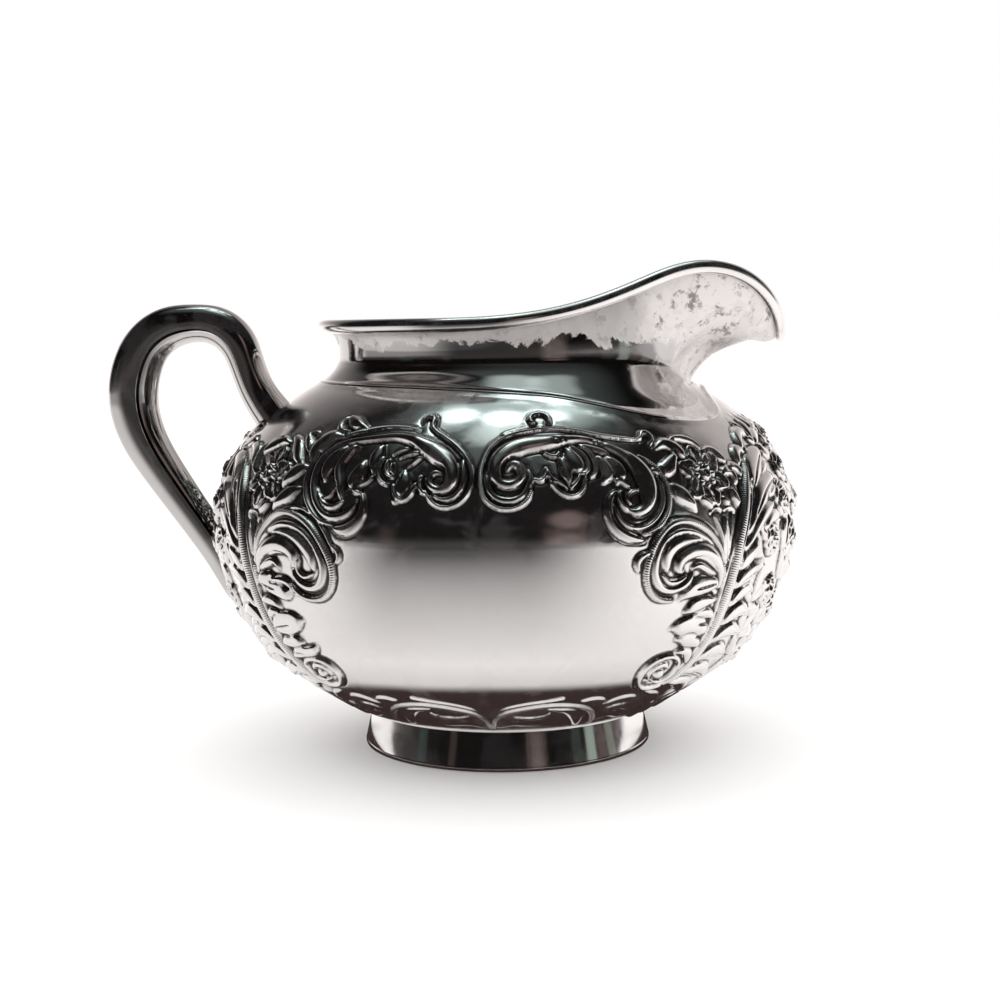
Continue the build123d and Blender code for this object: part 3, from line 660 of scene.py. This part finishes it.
base_v = np.repeat(np.linspace(along[0], FOOT_V, 14)[:-1, None], columns, axis=1)
wall_v = np.linspace(1, 0, 70)[:, None] * (mouth_v - along[0])[None, :] + along[0]
inside_relief = soften(relief, 0.8 / STEP)
inside_rise = np.zeros_like(wall_v)
for i in range(columns):
    inside_rise[:, i] = np.interp(wall_v[:, i], V[:, i], inside_relief[:, i], left=0, right=0)
places = np.concatenate([on_bowl(base_v, 0 * base_v), on_bowl(V, relief),
    on_bowl(wall_v, inside_rise - SHEET)])
places[0, :, :2] = 0
places[-1, :, :2] = 0
places[:, [0, -1], 1] = 0
faces = facing(places)
faces[:, [0, -1], 1] = 0
faces[0] = (0, 0, -1)
faces[-1] = (0, 0, 1)


def open_edges():
    """Picks the edges that only one face of the piece being edited has."""
    bpy.ops.mesh.select_mode(type="EDGE")
    bpy.ops.mesh.select_all(action="DESELECT")
    bpy.ops.mesh.select_non_manifold(extend=False, use_wire=False, use_multi_face=False,
                                     use_non_contiguous=False, use_verts=False)


near = laid_grid("bowl_near_half", places)
bpy.ops.object.mode_set(mode="EDIT")
bpy.ops.mesh.select_all(action="SELECT")
bpy.ops.mesh.remove_doubles(threshold=1e-6)
bpy.ops.object.mode_set(mode="OBJECT")
triangles = 2 * len(near.data.polygons)
thin = near.modifiers.new("thin", "DECIMATE")
thin.ratio = min(1.0, (FACES_A_SIDE - 4000) / triangles)
bpy.ops.object.modifier_apply(modifier="thin")
bpy.ops.object.mode_set(mode="EDIT")
open_edges()
bpy.ops.transform.resize(value=(1, 0, 1), center_override=(0, 0, 0))
bpy.ops.mesh.edge_face_add()
bpy.ops.mesh.quads_convert_to_tris()
bpy.ops.object.mode_set(mode="OBJECT")


def dense_lookup(piece):
    """For every corner of the thinned sheet, the crossings of the full layout nearest to it."""
    tree = kdtree.KDTree(places.shape[0] * columns)
    for i, spot in enumerate((places / 1000).reshape(-1, 3).tolist()):
        tree.insert(spot, i)
    tree.balance()
    picks, weights = [], []
    for corner in piece.data.vertices:
        found = tree.find_n(corner.co, 4)
        picks.append([f[1] for f in found])
        weights.append([1 / (f[2] + 2e-5) ** 2 for f in found])
    weights = np.array(weights)
    return np.array(picks), weights / weights.sum(axis=1, keepdims=True)


def mixed(field, lookup):
    """A field of the full layout, carried to the thinned sheet's corners."""
    picks, weights = lookup
    if field.ndim == 3:
        return (field.reshape(-1, 3)[picks] * weights[:, :, None]).sum(axis=1)
    return (field.ravel()[picks] * weights).sum(axis=1)


def mark(piece, name, values):
    """Stores one number at every corner of a piece, for its finish to read."""
    store = piece.data.attributes.new(name, "FLOAT", "POINT")
    store.data.foreach_set("value", np.asarray(values, np.float32))


lookup = dense_lookup(near)
corner_faces = mixed(faces, lookup)
corner_faces /= np.linalg.norm(corner_faces, axis=1, keepdims=True)
# each mark's name, its field, and its value all over the inside
bowl_marks = (("recess", recess, 0.12), ("stipple", grain, 0), ("milled", mill, 0), ("beat", beat, 0))
for name, field, within in bowl_marks:
    field = np.concatenate([0 * base_v, field, 0 * wall_v + within])
    mark(near, name, mixed(field, lookup))

far = near.copy()
far.data = near.data.copy()
far.name = "bowl_far_half"
far.data.name = "bowl_far_half"
bpy.context.collection.objects.link(far)
spots = np.empty(len(far.data.vertices) * 3)
far.data.vertices.foreach_get("co", spots)
far.data.vertices.foreach_set("co", (spots.reshape(-1, 3) * (1, -1, 1)).ravel())
far.data.flip_normals()
for half, way in ((near, 1), (far, -1)):
    half.data.shade_smooth()
    half.data.normals_split_custom_set_from_vertices((corner_faces * (1, way, 1)).tolist())


class Finish:
    """A finish's nodes: it wraps one socket, so that shading is written as plain sums."""

    def __init__(self, tree, socket=None):
        self.tree = tree
        self.socket = socket

    def node(self, kind, settings=None, sockets=None, out=0):
        """Any node, with its settings made first, then what its sockets hold or are fed by."""
        made = self.tree.nodes.new(kind)
        for key, value in (settings or {}).items():
            if key == "stops":
                ramp = made.color_ramp
                for i, (place, tone) in enumerate(value):
                    stop = ramp.elements[i] if i < 2 else ramp.elements.new(place)
                    stop.position = place
                    stop.color = (tone, tone, tone, 1) if isinstance(tone, (int, float)) else (*tone, 1)
            else:
                setattr(made, key, value)
        for key, value in (sockets or {}).items():
            if isinstance(value, Finish):
                self.tree.links.new(value.socket, made.inputs[key])
            else:
                made.inputs[key].default_value = value
        return Finish(self.tree, made.outputs[out] if made.outputs else None)

    def sum(self, operation, *terms, clamp=False):
        sockets = dict(enumerate(terms))
        return self.node("ShaderNodeMath", {"operation": operation, "use_clamp": clamp}, sockets)

    def __add__(self, other):
        return self.sum("ADD", self, other)

    def __radd__(self, other):
        return self.sum("ADD", other, self)

    def __sub__(self, other):
        return self.sum("SUBTRACT", self, other)

    def __rsub__(self, other):
        return self.sum("SUBTRACT", other, self)

    def __mul__(self, other):
        return self.sum("MULTIPLY", self, other)

    def __rmul__(self, other):
        return self.sum("MULTIPLY", other, self)

    def __truediv__(self, other):
        return self.sum("DIVIDE", self, other)

    def __rtruediv__(self, other):
        return self.sum("DIVIDE", other, self)

    def higher(self, other):
        return self.sum("MAXIMUM", self, other)

    def kept(self):
        """The same value, kept between 0 and 1."""
        return self.sum("ADD", self, 0.0, clamp=True)

    def eased(self, start, end):
        """0 below start, 1 above end, turning smoothly between them."""
        return self.node("ShaderNodeMapRange", {"interpolation_type": "SMOOTHSTEP"},
                         {0: self, 1: float(start), 2: float(end), 3: 0.0, 4: 1.0})

    def mix(self, low, high):
        """One colour where this value is 0, the other where it is 1."""
        low = low if isinstance(low, Finish) else (*low, 1)
        high = high if isinstance(high, Finish) else (*high, 1)
        return self.node("ShaderNodeMix", {"data_type": "RGBA"}, {0: self, 6: low, 7: high}, out=2)

    def blended(self, how, other):
        """Two colours added or multiplied."""
        kind = {"data_type": "RGBA", "blend_type": how}
        return self.node("ShaderNodeMix", kind, {0: 1.0, 6: self, 7: other}, out=2)

    def axis(self, which):
        """One of the three numbers of a place or a direction."""
        return self.node("ShaderNodeSeparateXYZ", None, {0: self}, out=which)

    def noise(self, scale, detail, rough=0.5, twist=0.0):
        """Cloudy noise at a place."""
        return self.node("ShaderNodeTexNoise", None, {
            "Vector": self, "Scale": scale, "Detail": detail, "Roughness": rough, "Distortion": twist})


def silver(name, polish=0.10, bright=(0.82, 0.795, 0.785), carved=False, patina=0.25, mottle=0.0):
    """Old polished silver: bright on the high parts, dark oxide in the hollows, fine scratches."""
    made = bpy.data.materials.new(name)
    made.use_nodes = True
    tree = made.node_tree
    tree.nodes.clear()
    maker = Finish(tree)
    place = maker.node("ShaderNodeTexCoord", out=3)
    cloud = place.noise(95.0, 9.0, 0.66, 0.5)
    spots = place.noise(520.0, 5.0, 0.6)
    wide = maker.node("ShaderNodeMapping", None, {"Vector": place, "Scale": (1.0, 1.0, 0.12)})
    lines = wide.noise(2600.0, 3.0, 0.7)
    dents = place.noise(48.0, 1.0)
    dull = (cloud.eased(0.50, 0.56) * 0.75 + spots.eased(0.54, 0.70) * 0.25).kept() * patina
    if mottle:
        lip = place.axis(0) + cloud * 0.04 + spots * 0.004
        lip = lip.eased(0.050, 0.058)
        level = place.axis(2) + cloud * 0.014
        flare = level.eased(0.0826, 0.0832)
        dull = (dull * lip + (lip * 0.7).higher(flare) * (0.62 + spots * 0.3)).kept()
    colour = dull.mix(bright, (0.76, 0.715, 0.70))
    gloss = polish + dull * 0.36 + lines * 0.04
    metal = 1.0 - dull * (0.55 if mottle else 0.10)
    height = dents * 0.8 + lines * 0.010 + spots * 0.012
    if mottle:
        worms = place.noise(420.0, 8.0, 0.72, 0.25)
        stain = (worms.eased(0.51, 0.66) * cloud.eased(0.43, 0.58) * (lip + flare * 0.6)).kept() * mottle
        colour = stain.mix(colour, (0.20, 0.175, 0.17))
        gloss = gloss + stain * 0.15
    if carved:
        recess_of = maker.node("ShaderNodeAttribute", {"attribute_name": "recess"}, out=2)
        stipple_of = maker.node("ShaderNodeAttribute", {"attribute_name": "stipple"}, out=2)
        milled_of = maker.node("ShaderNodeAttribute", {"attribute_name": "milled"}, out=2)
        beat_of = maker.node("ShaderNodeAttribute", {"attribute_name": "beat"}, out=2)
        nicks = (beat_of * (2 * math.pi)).sum("COSINE", beat_of * (2 * math.pi)) * milled_of
        oxide = (recess_of * (0.75 + spots * 0.5)).kept()
        colour = oxide.eased(0.02, 0.75).mix(colour, (0.085, 0.075, 0.07))
        gloss = gloss + oxide * 0.22
        punched = maker.node("ShaderNodeTexVoronoi", {"feature": "F1"}, {"Vector": place, "Scale": 1700.0})
        height = height + stipple_of * punched * 0.30 + nicks * 0.09
    bump = maker.node("ShaderNodeBump", None, {"Strength": 0.6, "Distance": 0.0005, "Height": height})
    shader = maker.node("ShaderNodeBsdfPrincipled", None,
                        {"Base Color": colour, "Metallic": metal, "Roughness": gloss, "Normal": bump})
    maker.node("ShaderNodeOutputMaterial", None, {"Surface": shader})
    return made


bowl_silver = silver("bowl_chased_silver", polish=0.085, carved=True, patina=0.20)
for half in (near, far):
    half.data.materials.clear()
    half.data.materials.append(bowl_silver)
    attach(half, "root")
    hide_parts("bowl")


# ---- The neck and spout --------------------------------------------------------------------
# One sheet of silver, turned up from a low flare on the shoulder and drawn out in front into
# a broad pouring lip.  It is soldered to the bowl along the seam at its foot.

RIM = [
    (51.6, 0.0, 76.0), (51.1, 4.8, 78.0), (49.6, 8.9, 81.6), (46.5, 12.3, 85.2),
    (42.0, 15.1, 87.6), (36.5, 17.6, 88.3), (31.0, 19.9, 87.2), (25.0, 22.6, 84.8),
    (18.0, 25.9, 82.2), (10.0, 29.6, 80.2), (0.0, 32.3, 79.1), (-12.0, 30.9, 78.9),
    (-23.0, 23.9, 78.9), (-30.6, 12.9, 78.9), (-33.0, 0.0, 78.9),
]
NECK_CENTRE, NECK_LONG, NECK_WIDE = 2.5, 32.9, 31.4
# how the wall runs out and up from the neck (0, 0) to the rim (1, 1) at some turns from the tip
WALLS = [
    (0.0, [(0.10, 0.32), (0.26, 0.62), (0.47, 0.83), (0.68, 0.90), (0.86, 0.86)]),
    (11.0, [(0.09, 0.16), (0.24, 0.31), (0.46, 0.43), (0.68, 0.54), (0.87, 0.72)]),
    (26.0, [(0.10, 0.12), (0.28, 0.25), (0.52, 0.42), (0.74, 0.61), (0.90, 0.81)]),
    (46.0, [(0.01, 0.20), (0.07, 0.39), (0.18, 0.57), (0.41, 0.75), (0.71, 0.90)]),
    (181.0, [(0.01, 0.20), (0.07, 0.39), (0.18, 0.57), (0.41, 0.75), (0.71, 0.90)]),
]


def wall_line(x, y, z):
    """The outside of the wall under one place on the rim, as (radius, height) from its foot up."""
    way = math.atan2(y, x)
    turn = abs(math.degrees(way))
    front = ((1 + math.cos(way)) / 2) ** 4
    c, s, m = math.cos(way) / NECK_LONG, math.sin(way) / NECK_WIDE, NECK_CENTRE / NECK_LONG
    neck_r = (c * m + math.sqrt((c * m) ** 2 + (c * c + s * s) * (1 - m * m))) / (c * c + s * s)
    step = next(i for i in range(1, len(WALLS)) if turn <= WALLS[i][0])
    (low, low_wall), (high, high_wall) = WALLS[step - 1], WALLS[step]
    part = float(eased(turn, low, high))
    shares = (1 - part) * np.array(low_wall) + part * np.array(high_wall)
    rim_r = math.hypot(x, y)
    crease = 72.3 - 5.6 * front ** 4
    waist = crease + 1.3
    edge = float(np.interp(turn, SKIRT[:, 0], SKIRT[:, 1]))
    edge_z = float(np.interp(-edge, -section[above, 0], section[above, 1]))
    rise = [(neck_r + (rim_r - neck_r) * p, waist + (z - waist) * q) for p, q in shares]
    skirt = [(edge + 0.15, edge_z - 0.9), (edge + 0.38, edge_z - 0.15), (edge + 0.05, edge_z + 0.32),
             (edge - 0.60, edge_z + 0.48)]
    low_r, low_z = skirt[-1]
    for part in (0.3, 0.6, 0.85):
        sag = 0.9 * part * (1 - part)
        skirt.append((low_r + (neck_r + 0.5 - low_r) * part - 0.25 * sag,
            low_z + (crease - 0.5 - low_z) * part - sag))
    return [*skirt, (neck_r + 0.35, crease - 0.15), (neck_r + 0.08, crease + 0.35), (neck_r, waist),
        *rise, (rim_r, z)]


def closed_line(points, count):
    """A smooth closed line through points that end where they would begin again."""
    wrapped = [*points[-4:], *points, *points[:5]]
    line = flowing(wrapped, 4000)
    first = int(np.argmin(np.linalg.norm(line[:800] - points[0], axis=1)))
    last = 3200 + int(np.argmin(np.linalg.norm(line[3200:] - points[0], axis=1)))
    picks = np.linspace(first, last, count + 1)
    ring = np.stack([np.interp(picks, np.arange(4000), line[:, i]) for i in range(line.shape[1])], axis=1)
    return ring[:-1]


def joined_skin(name, rings, closed_ends=False):
    """A smooth closed skin through rings of places, every ring joined to the next.

    A ring's own first and last places meet.  The rings run round to the first again, unless
    closed_ends asks for an end face on the first and the last."""
    rings = np.concatenate([rings, rings[:, :1]], axis=1)
    if not closed_ends:
        rings = np.concatenate([rings, rings[:1]], axis=0)
    piece = laid_grid(name, rings)
    bpy.ops.object.mode_set(mode="EDIT")
    bpy.ops.mesh.select_all(action="SELECT")
    bpy.ops.mesh.remove_doubles(threshold=2e-6)
    if closed_ends:
        open_edges()
        bpy.ops.mesh.fill_holes(sides=0)
    bpy.ops.mesh.select_all(action="SELECT")
    bpy.ops.mesh.normals_make_consistent(inside=False)
    bpy.ops.object.mode_set(mode="OBJECT")
    bpy.ops.object.shade_smooth_by_angle(angle=math.radians(40))
    return piece


def inward(line, gap):
    """A row of (radius, height) places moved to its left by a gap, square to the row."""
    step = np.gradient(line, axis=0)
    step /= np.linalg.norm(step, axis=1, keepdims=True)
    return line + gap * np.stack([-step[:, 1], step[:, 0]], axis=1)


rim_points = [*RIM, *[(x, -y, z) for x, y, z in RIM[-2:0:-1]]]
rim_line = closed_line(rim_points, 360)
sections = []
for x, y, z in rim_line:
    outside = flowing(wall_line(x, y, z), 64)
    both = np.concatenate([outside, inward(outside, SHEET)[::-1]])
    turn = math.atan2(y, x)
    sections.append(np.stack([both[:, 0] * math.cos(turn), both[:, 0] * math.sin(turn), both[:, 1]],
        axis=1))
neck = joined_skin("neck_and_spout_wall", np.array(sections))
# The neck's polished silver is given a darker colour than the bowl's: painted shade for the dark room its
# mirror band reflects.  The patina and stains on the lip are its own.
neck_silver_painted_dark = silver("neck_silver_painted_dark", polish=0.06, bright=(0.50, 0.48, 0.475), patina=0.9, mottle=0.85)
neck.data.materials.append(neck_silver_painted_dark)
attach(neck, "root")
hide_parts("neck_and_spout")


# ---- The rim wire --------------------------------------------------------------------------
# A rounded silver wire soldered right round the mouth and the lip, to stiffen the sheet.  It has the
# same polished silver finish as the rest, with a little patina.

RIM_WIRE = 1.25                      # its half thickness


def wire_round(line, half, count=20):
    """Rings of a round wire along a closed line."""
    ahead = np.roll(line, -1, axis=0) - np.roll(line, 1, axis=0)
    ahead /= np.linalg.norm(ahead, axis=1, keepdims=True)
    side = np.cross(ahead, (0, 0, 1))
    side /= np.linalg.norm(side, axis=1, keepdims=True)
    up = np.cross(side, ahead)
    turn = np.linspace(0, 2 * math.pi, count, endpoint=False)[None, :, None]
    return line[:, None] + half * (np.cos(turn) * side[:, None] + np.sin(turn) * up[:, None])


rim = joined_skin("rim_wire_round", wire_round(rim_line, RIM_WIRE))
rim_silver = silver("rim_silver", polish=0.10, patina=0.15)
rim.data.materials.append(rim_silver)
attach(rim, "root")
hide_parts("rim_wire")


# ---- The foot ------------------------------------------------------------------------------
# A plain band of silver that flares very slightly to the table, with a fine rounded wire along
# its bottom edge.  The band is soldered to the underside of the bowl.

def turned_band(name, outline, count):
    """A closed outline of (radius, height) places, spun once round the jug's axis."""
    outline = np.array(outline)
    turns = np.linspace(0, 2 * math.pi, count, endpoint=False)
    rings = [np.stack([outline[:, 0] * math.cos(t), outline[:, 0] * math.sin(t), outline[:, 1]],
        axis=1) for t in turns]
    return joined_skin(name, np.array(rings))


foot_side = flowing([(27.0, 1.1), (26.70, 2.5), (26.26, 4.5), (25.82, 6.5), (25.38, 8.5)], 12)
foot = turned_band("foot_band", np.concatenate([foot_side, (foot_side - (1.0, 0))[::-1]]), 220)
foot_silver = silver("foot_silver", polish=0.05, patina=0.12)
foot.data.materials.append(foot_silver)
bow = [(26.75 + 0.35 * math.cos(t), 0.65 + 0.65 * math.sin(t)) for t in np.linspace(-math.pi / 2,
    math.pi / 2, 12)]
foot_wire = turned_band("foot_wire_round", [*bow, (25.6, 1.3), (25.4, 0.9), (25.6, 0.0)], 220)
foot_wire.data.materials.append(foot_silver)
for piece, node in ((foot, "foot_ring"), (foot_wire, "foot_base_wire")):
    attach(piece, "root")
    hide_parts(node)


# ---- The handle ----------------------------------------------------------------------------
# A hollow loop in two parts: a rounded outer shell and a narrower strip that closes it on the
# finger side.  Both run into the shoulder at the top and touch the belly at the bottom.

HANDLE = [
    (-41.2, 59.0, 4.3, 4.6), (-44.6, 63.4, 3.8, 4.1), (-47.2, 67.8, 3.5, 3.7),
    (-48.9, 72.6, 3.5, 3.6), (-50.6, 76.4, 3.7, 3.6), (-53.9, 79.2, 3.7, 3.6),
    (-58.4, 79.95, 3.6, 3.6), (-63.6, 79.0, 4.1, 3.7), (-67.9, 75.7, 4.5, 3.8),
    (-70.3, 70.6, 4.8, 3.9), (-70.9, 65.2, 4.8, 3.9), (-69.6, 59.3, 4.5, 3.8),
    (-66.8, 53.8, 4.1, 3.6), (-62.6, 47.4, 3.75, 3.5), (-58.5, 41.4, 3.5, 3.4),
    (-54.9, 35.8, 3.3, 3.3), (-52.3, 30.6, 2.9, 3.0),
    (-50.9, 27.9, 2.5, 2.6), (-50.2, 26.5, 1.7, 1.8), (-50.0, 26.0, 1.1, 1.3),
]
CUT = 0.42                           # where shell and strip meet, as a share of the half depth


def handle_half_width(wide, share):
    return wide * (1 - np.abs(share) ** 2.4) ** (1 / 2.2)


def handle_skin(name, outline_of):
    """A skin along the handle; outline_of gives (depth, width) places for a half depth and width."""
    line = flowing([(x, z, deep, wide) for x, z, deep, wide in HANDLE], 150)
    ahead = np.gradient(line[:, :2], axis=0)
    ahead /= np.linalg.norm(ahead, axis=1, keepdims=True)
    rings = []
    for (x, z, deep, wide), (along_x, along_z) in zip(line, ahead):
        outline = np.array(outline_of(deep, wide))
        rings.append(np.stack([x + along_z * outline[:, 0], outline[:, 1], z - along_x * outline[:, 0]],
            axis=1))
    return joined_skin(name, np.array(rings), closed_ends=True)


def shell_outline(deep, wide):
    rise = np.sin(np.linspace(-math.asin(CUT), math.pi / 2, 16))
    one_side = [(deep * r, handle_half_width(wide, r)) for r in rise]
    one_side[0] = (one_side[0][0] + 0.35, one_side[0][1] - 0.35)
    other_side = [(d, -w) for d, w in one_side[-2::-1]]
    root = -CUT * deep + 0.1
    return [(root, one_side[0][1] - 1.0), *one_side, *other_side, (root, other_side[-1][1] + 1.0)]


def strip_outline(deep, wide):
    lip = -CUT * deep
    edge = handle_half_width(wide, CUT) - 0.25
    bow = flowing([(lip, edge), (-0.62 * deep, 0.86 * edge), (-0.86 * deep, 0.5 * edge), (-deep, 0),
                   (-0.86 * deep, -0.5 * edge), (-0.62 * deep, -0.86 * edge), (lip, -edge)], 21)
    return [(lip - 0.1, edge - 1.0), *bow.tolist(), (lip - 0.1, 1.0 - edge)]


shell = handle_skin("handle_shell", shell_outline)
strip = handle_skin("handle_strip", strip_outline)
# The handle's polished silver is given a darker colour than the bowl's: painted shade for the dark room it
# reflects.
handle_silver_painted_dark = silver("handle_silver_painted_dark", polish=0.05, bright=(0.60, 0.58, 0.57), patina=0.22)
for piece, node in ((shell, "handle_outer_shell"), (strip, "handle_inner_strip")):
    piece.data.materials.append(handle_silver_painted_dark)
    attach(piece, "root")
    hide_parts(node)


# ---- The camera, the floor and the light ---------------------------------------------------
# The camera stands just above the height of the rim, a little to the spout's side.  The floor
# is plain and pale, and the light is a soft room: bright at the sides and behind, dark in front.

FLOOR = 12                           # metres across
LIT_REACH = 0.054                    # how far from the jug's middle the floor keeps its light, in metres
FOOT_SHADE = (0.0375, 0.0425)        # where the painted shadow round the foot starts to fade, and where it ends


def looking(turn, down, roll):
    """The camera's right, up and back directions."""
    forward = np.array([-math.sin(turn) * math.cos(down), math.cos(turn) * math.cos(down), -math.sin(down)])
    right = np.cross(forward, (0, 0, 1))
    right /= np.linalg.norm(right)
    up = np.cross(right, forward)
    c, s = math.cos(roll), math.sin(roll)
    return right * c - up * s, up * c + right * s, -forward


right, up, back = looking(math.radians(4.64), math.radians(6.2), math.radians(0.9))
eye = (0.310 * math.sin(math.radians(4.5)), -0.310 * math.cos(math.radians(4.5)), 0.0794)
camera_data = bpy.data.cameras.new("camera")
camera_data.lens = 59.15
camera_data.sensor_width = 36
camera_data.clip_start = 0.01
camera = bpy.data.objects.new("camera", camera_data)
camera.matrix_world = Matrix([[right[i], up[i], back[i], eye[i]] for i in range(3)] + [[0, 0, 0, 1]])
bpy.context.collection.objects.link(camera)
bpy.context.scene.camera = camera

bpy.ops.object.select_all(action="DESELECT")
bpy.ops.mesh.primitive_plane_add(size=FLOOR, location=(0, 0, 0))
floor = bpy.context.object
floor.name = "floor"
floor_white = bpy.data.materials.new("floor_pale")
floor_white.use_nodes = True
floor_white.node_tree.nodes["Principled BSDF"].inputs["Base Color"].default_value = (0.93, 0.92, 0.915, 1)
floor_white.node_tree.nodes["Principled BSDF"].inputs["Roughness"].default_value = 0.9
floor_white.node_tree.nodes["Principled BSDF"].inputs["Specular IOR Level"].default_value = 0.0
floor.data.materials.append(floor_white)

# What the silver sees of the floor, painted on a card: a painted shadow in front, where someone stands in
# the light, a painted shadow round the foot, and a painted white glow behind.  Only reflections see this
# card.
bpy.ops.object.select_all(action="DESELECT")
bpy.ops.mesh.primitive_plane_add(size=FLOOR, location=(0, 0, 0.0003))
painted_shade_card = bpy.context.object
bpy.ops.object.transform_apply(location=True)
painted_shade_card.name = "painted_floor_shade_card"
painted_floor_shade_tone = bpy.data.materials.new("painted_floor_shade_card")
painted_floor_shade_tone.use_nodes = True
painted_floor_shade_tone.node_tree.nodes.clear()
painted_shade_nodes = Finish(painted_floor_shade_tone.node_tree)
spot = painted_shade_nodes.node("ShaderNodeTexCoord", out=3)
in_front = spot.axis(1) * -1.0
reach = painted_shade_nodes.node("ShaderNodeVectorMath", {"operation": "LENGTH"}, {0: spot}, out=1)
# painted shadow on the floor in front, left off near the jug and fading towards the sides
fade = LIT_REACH / reach.higher(LIT_REACH)
fade = fade.sum("POWER", fade, 1.45).higher(0.07)
to_side = spot.axis(0) / reach
fade = fade + (1.0 - fade) * (to_side.eased(0.15, 1.0) * 0.9 + (to_side * -1.0).eased(0.5, 0.95) * 0.6)
fade = fade * (1.0 - reach.eased(0.45, 0.8) * 0.5)
front = (in_front / reach).eased(-0.42, -0.20)
# painted shadow round the foot, where the jug's own shadow falls
painted_foot_shadow = 1.0 - reach.eased(*FOOT_SHADE)
dim = ((1.0 - fade) * front).higher((1.0 - front) * 0.85).higher(painted_foot_shadow)
clear = painted_shade_nodes.node("ShaderNodeBsdfTransparent")
# the card's colours: a painted white glow behind, painted shadow in front and round the foot
shade = painted_foot_shadow.mix(front.mix((1.15, 1.12, 1.10), (0.006, 0.004, 0.004)), (0.045, 0.030, 0.029))
painted_shade_and_glow = painted_shade_nodes.node("ShaderNodeEmission", None, {"Color": shade, "Strength": 1.0})
both = painted_shade_nodes.node("ShaderNodeMixShader", None, {0: dim, 1: clear, 2: painted_shade_and_glow})
painted_shade_nodes.node("ShaderNodeOutputMaterial", None, {"Surface": both})
painted_shade_card.data.materials.append(painted_floor_shade_tone)
painted_shade_card.visible_camera = False
painted_shade_card.visible_shadow = False
painted_shade_card.visible_diffuse = False

world = bpy.data.worlds.new("room")
bpy.context.scene.world = world
world.use_nodes = True
world.node_tree.nodes.clear()
room = Finish(world.node_tree)
off_metal = room.node("ShaderNodeLightPath", out=3)          # rays that come off a shiny surface
from_floor = room.node("ShaderNodeLightPath", out=2)         # rays that come off a matt one
ray = room.node("ShaderNodeTexCoord", out=0)
ray_x, ray_y, ray_z = ray.axis(0), ray.axis(1), ray.axis(2)
level_ray = room.node("ShaderNodeVectorMath", {"operation": "MULTIPLY"}, {0: ray, 1: (1, 1, 0)})
level_ray = room.node("ShaderNodeVectorMath", {"operation": "NORMALIZE"}, {0: level_ray})


def nearness(way, other):
    """How nearly two directions agree."""
    return room.node("ShaderNodeVectorMath", {"operation": "DOT_PRODUCT"}, {0: way, 1: other}, out=1)


def lamp(turn, rise, start, end, tone):
    """A soft round lamp, by its turn from the camera's side and its height, in degrees."""
    t, r = math.radians(turn), math.radians(rise)
    way = (math.sin(t) * math.cos(r), -math.cos(t) * math.cos(r), math.sin(r))
    full_at, none_at = math.cos(math.radians(start)), math.cos(math.radians(end))
    return nearness(ray, way).eased(none_at, full_at).mix((0, 0, 0), tone)


def bar(turn, half, tone, top=0.30):
    """An upright strip of something pale standing in the dark front of the room."""
    t = math.radians(turn)
    near_it = nearness(level_ray, (math.sin(t), -math.cos(t), 0))
    strip_of = near_it.eased(math.cos(math.radians(half * 1.25)), math.cos(math.radians(half * 0.8)))
    return (strip_of * (1.0 - ray_z.eased(top - 0.12, top))).mix((0, 0, 0), tone)


wall_height = room.node("ShaderNodeValToRGB", {"stops": [
    (0.0, 0.98), (0.12, 0.92), (0.32, 0.52), (0.48, 0.42), (0.66, 0.34), (0.80, 0.20), (0.88, 0.10),
    (1.0, 0.05)]}, {0: ray_z})
wall_height = wall_height.blended("MULTIPLY", (1.16, 1.10, 1.08, 1))
behind = (ray_y.eased(0.34, 0.62) * (1.0 + ray_x * ray_z * 2.4).kept()).mix((0, 0, 0), (1, 1, 1))
light = behind.blended("MULTIPLY", wall_height)
ceiling = ray_z.eased(0.80, 0.99).mix((0, 0, 0), (0.085, 0.105, 0.10))
haze = ((1.0 - ray_z.eased(-0.03, 0.14)) * 0.070).mix((0, 0, 0), (1, 0.9, 0.9))
light = light.blended("ADD", ceiling).blended("ADD", haze.blended("ADD", (0.005, 0.004, 0.004, 1)))
for patch in [
    lamp(-140, 73, 1, 6, (2.2, 2.7, 2.7)), lamp(180, 80, 1, 6, (2.4, 3.0, 3.1)),
    lamp(148, 73, 1, 5, (1.8, 2.2, 2.2)),
    lamp(142, 61, 1, 3, (1.2, 1.5, 1.4)), lamp(172, 73, 7, 20, (0.34, 0.42, 0.41)),
    lamp(152, 62, 2, 8, (0.40, 0.48, 0.45)),
    lamp(0, 88, 2, 11, (0.62, 0.74, 0.72)), lamp(82, 79, 2, 9, (0.45, 0.54, 0.52)),
    lamp(-108, 73, 1, 5, (0.45, 0.54, 0.52)),
    lamp(-156, 59, 1, 4, (1.0, 1.1, 1.05)), lamp(-162, 62, 1, 4, (1.3, 1.4, 1.35)),
    lamp(-168, 64, 1, 4, (1.3, 1.4, 1.35)),
    lamp(-176, 66, 1, 4, (1.2, 1.35, 1.3)), lamp(175, 66, 1, 4, (1.2, 1.35, 1.3)),
    lamp(28, 2, 2, 9, (0.15, 0.12, 0.11)),
    lamp(29, 21, 3, 9, (0.17, 0.13, 0.12)), lamp(30, 11, 3, 8, (0.06, 0.045, 0.04)),
    bar(-40, 2.5, (0.035, 0.027, 0.025)), bar(22, 3, (0.06, 0.045, 0.04)), bar(62, 4, (0.025, 0.035, 0.03)),
    bar(75, 4, (0.28, 0.34, 0.30)), bar(85, 4, (0.06, 0.04, 0.04)), bar(95, 4, (0.14, 0.16, 0.13)),
    bar(104, 3, (0.05, 0.035, 0.035)), bar(-68, 4, (0.02, 0.035, 0.03)),
]:
    light = light.blended("ADD", patch)
seen = off_metal.mix((1.0, 1.0, 1.0), light)
seen = from_floor.mix(seen, (1.50, 1.50, 1.50))
sky = room.node("ShaderNodeBackground", None, {"Color": seen, "Strength": 1.0})
room.node("ShaderNodeOutputWorld", None, {"Surface": sky})
bpy.context.scene.view_settings.view_transform = "Standard"
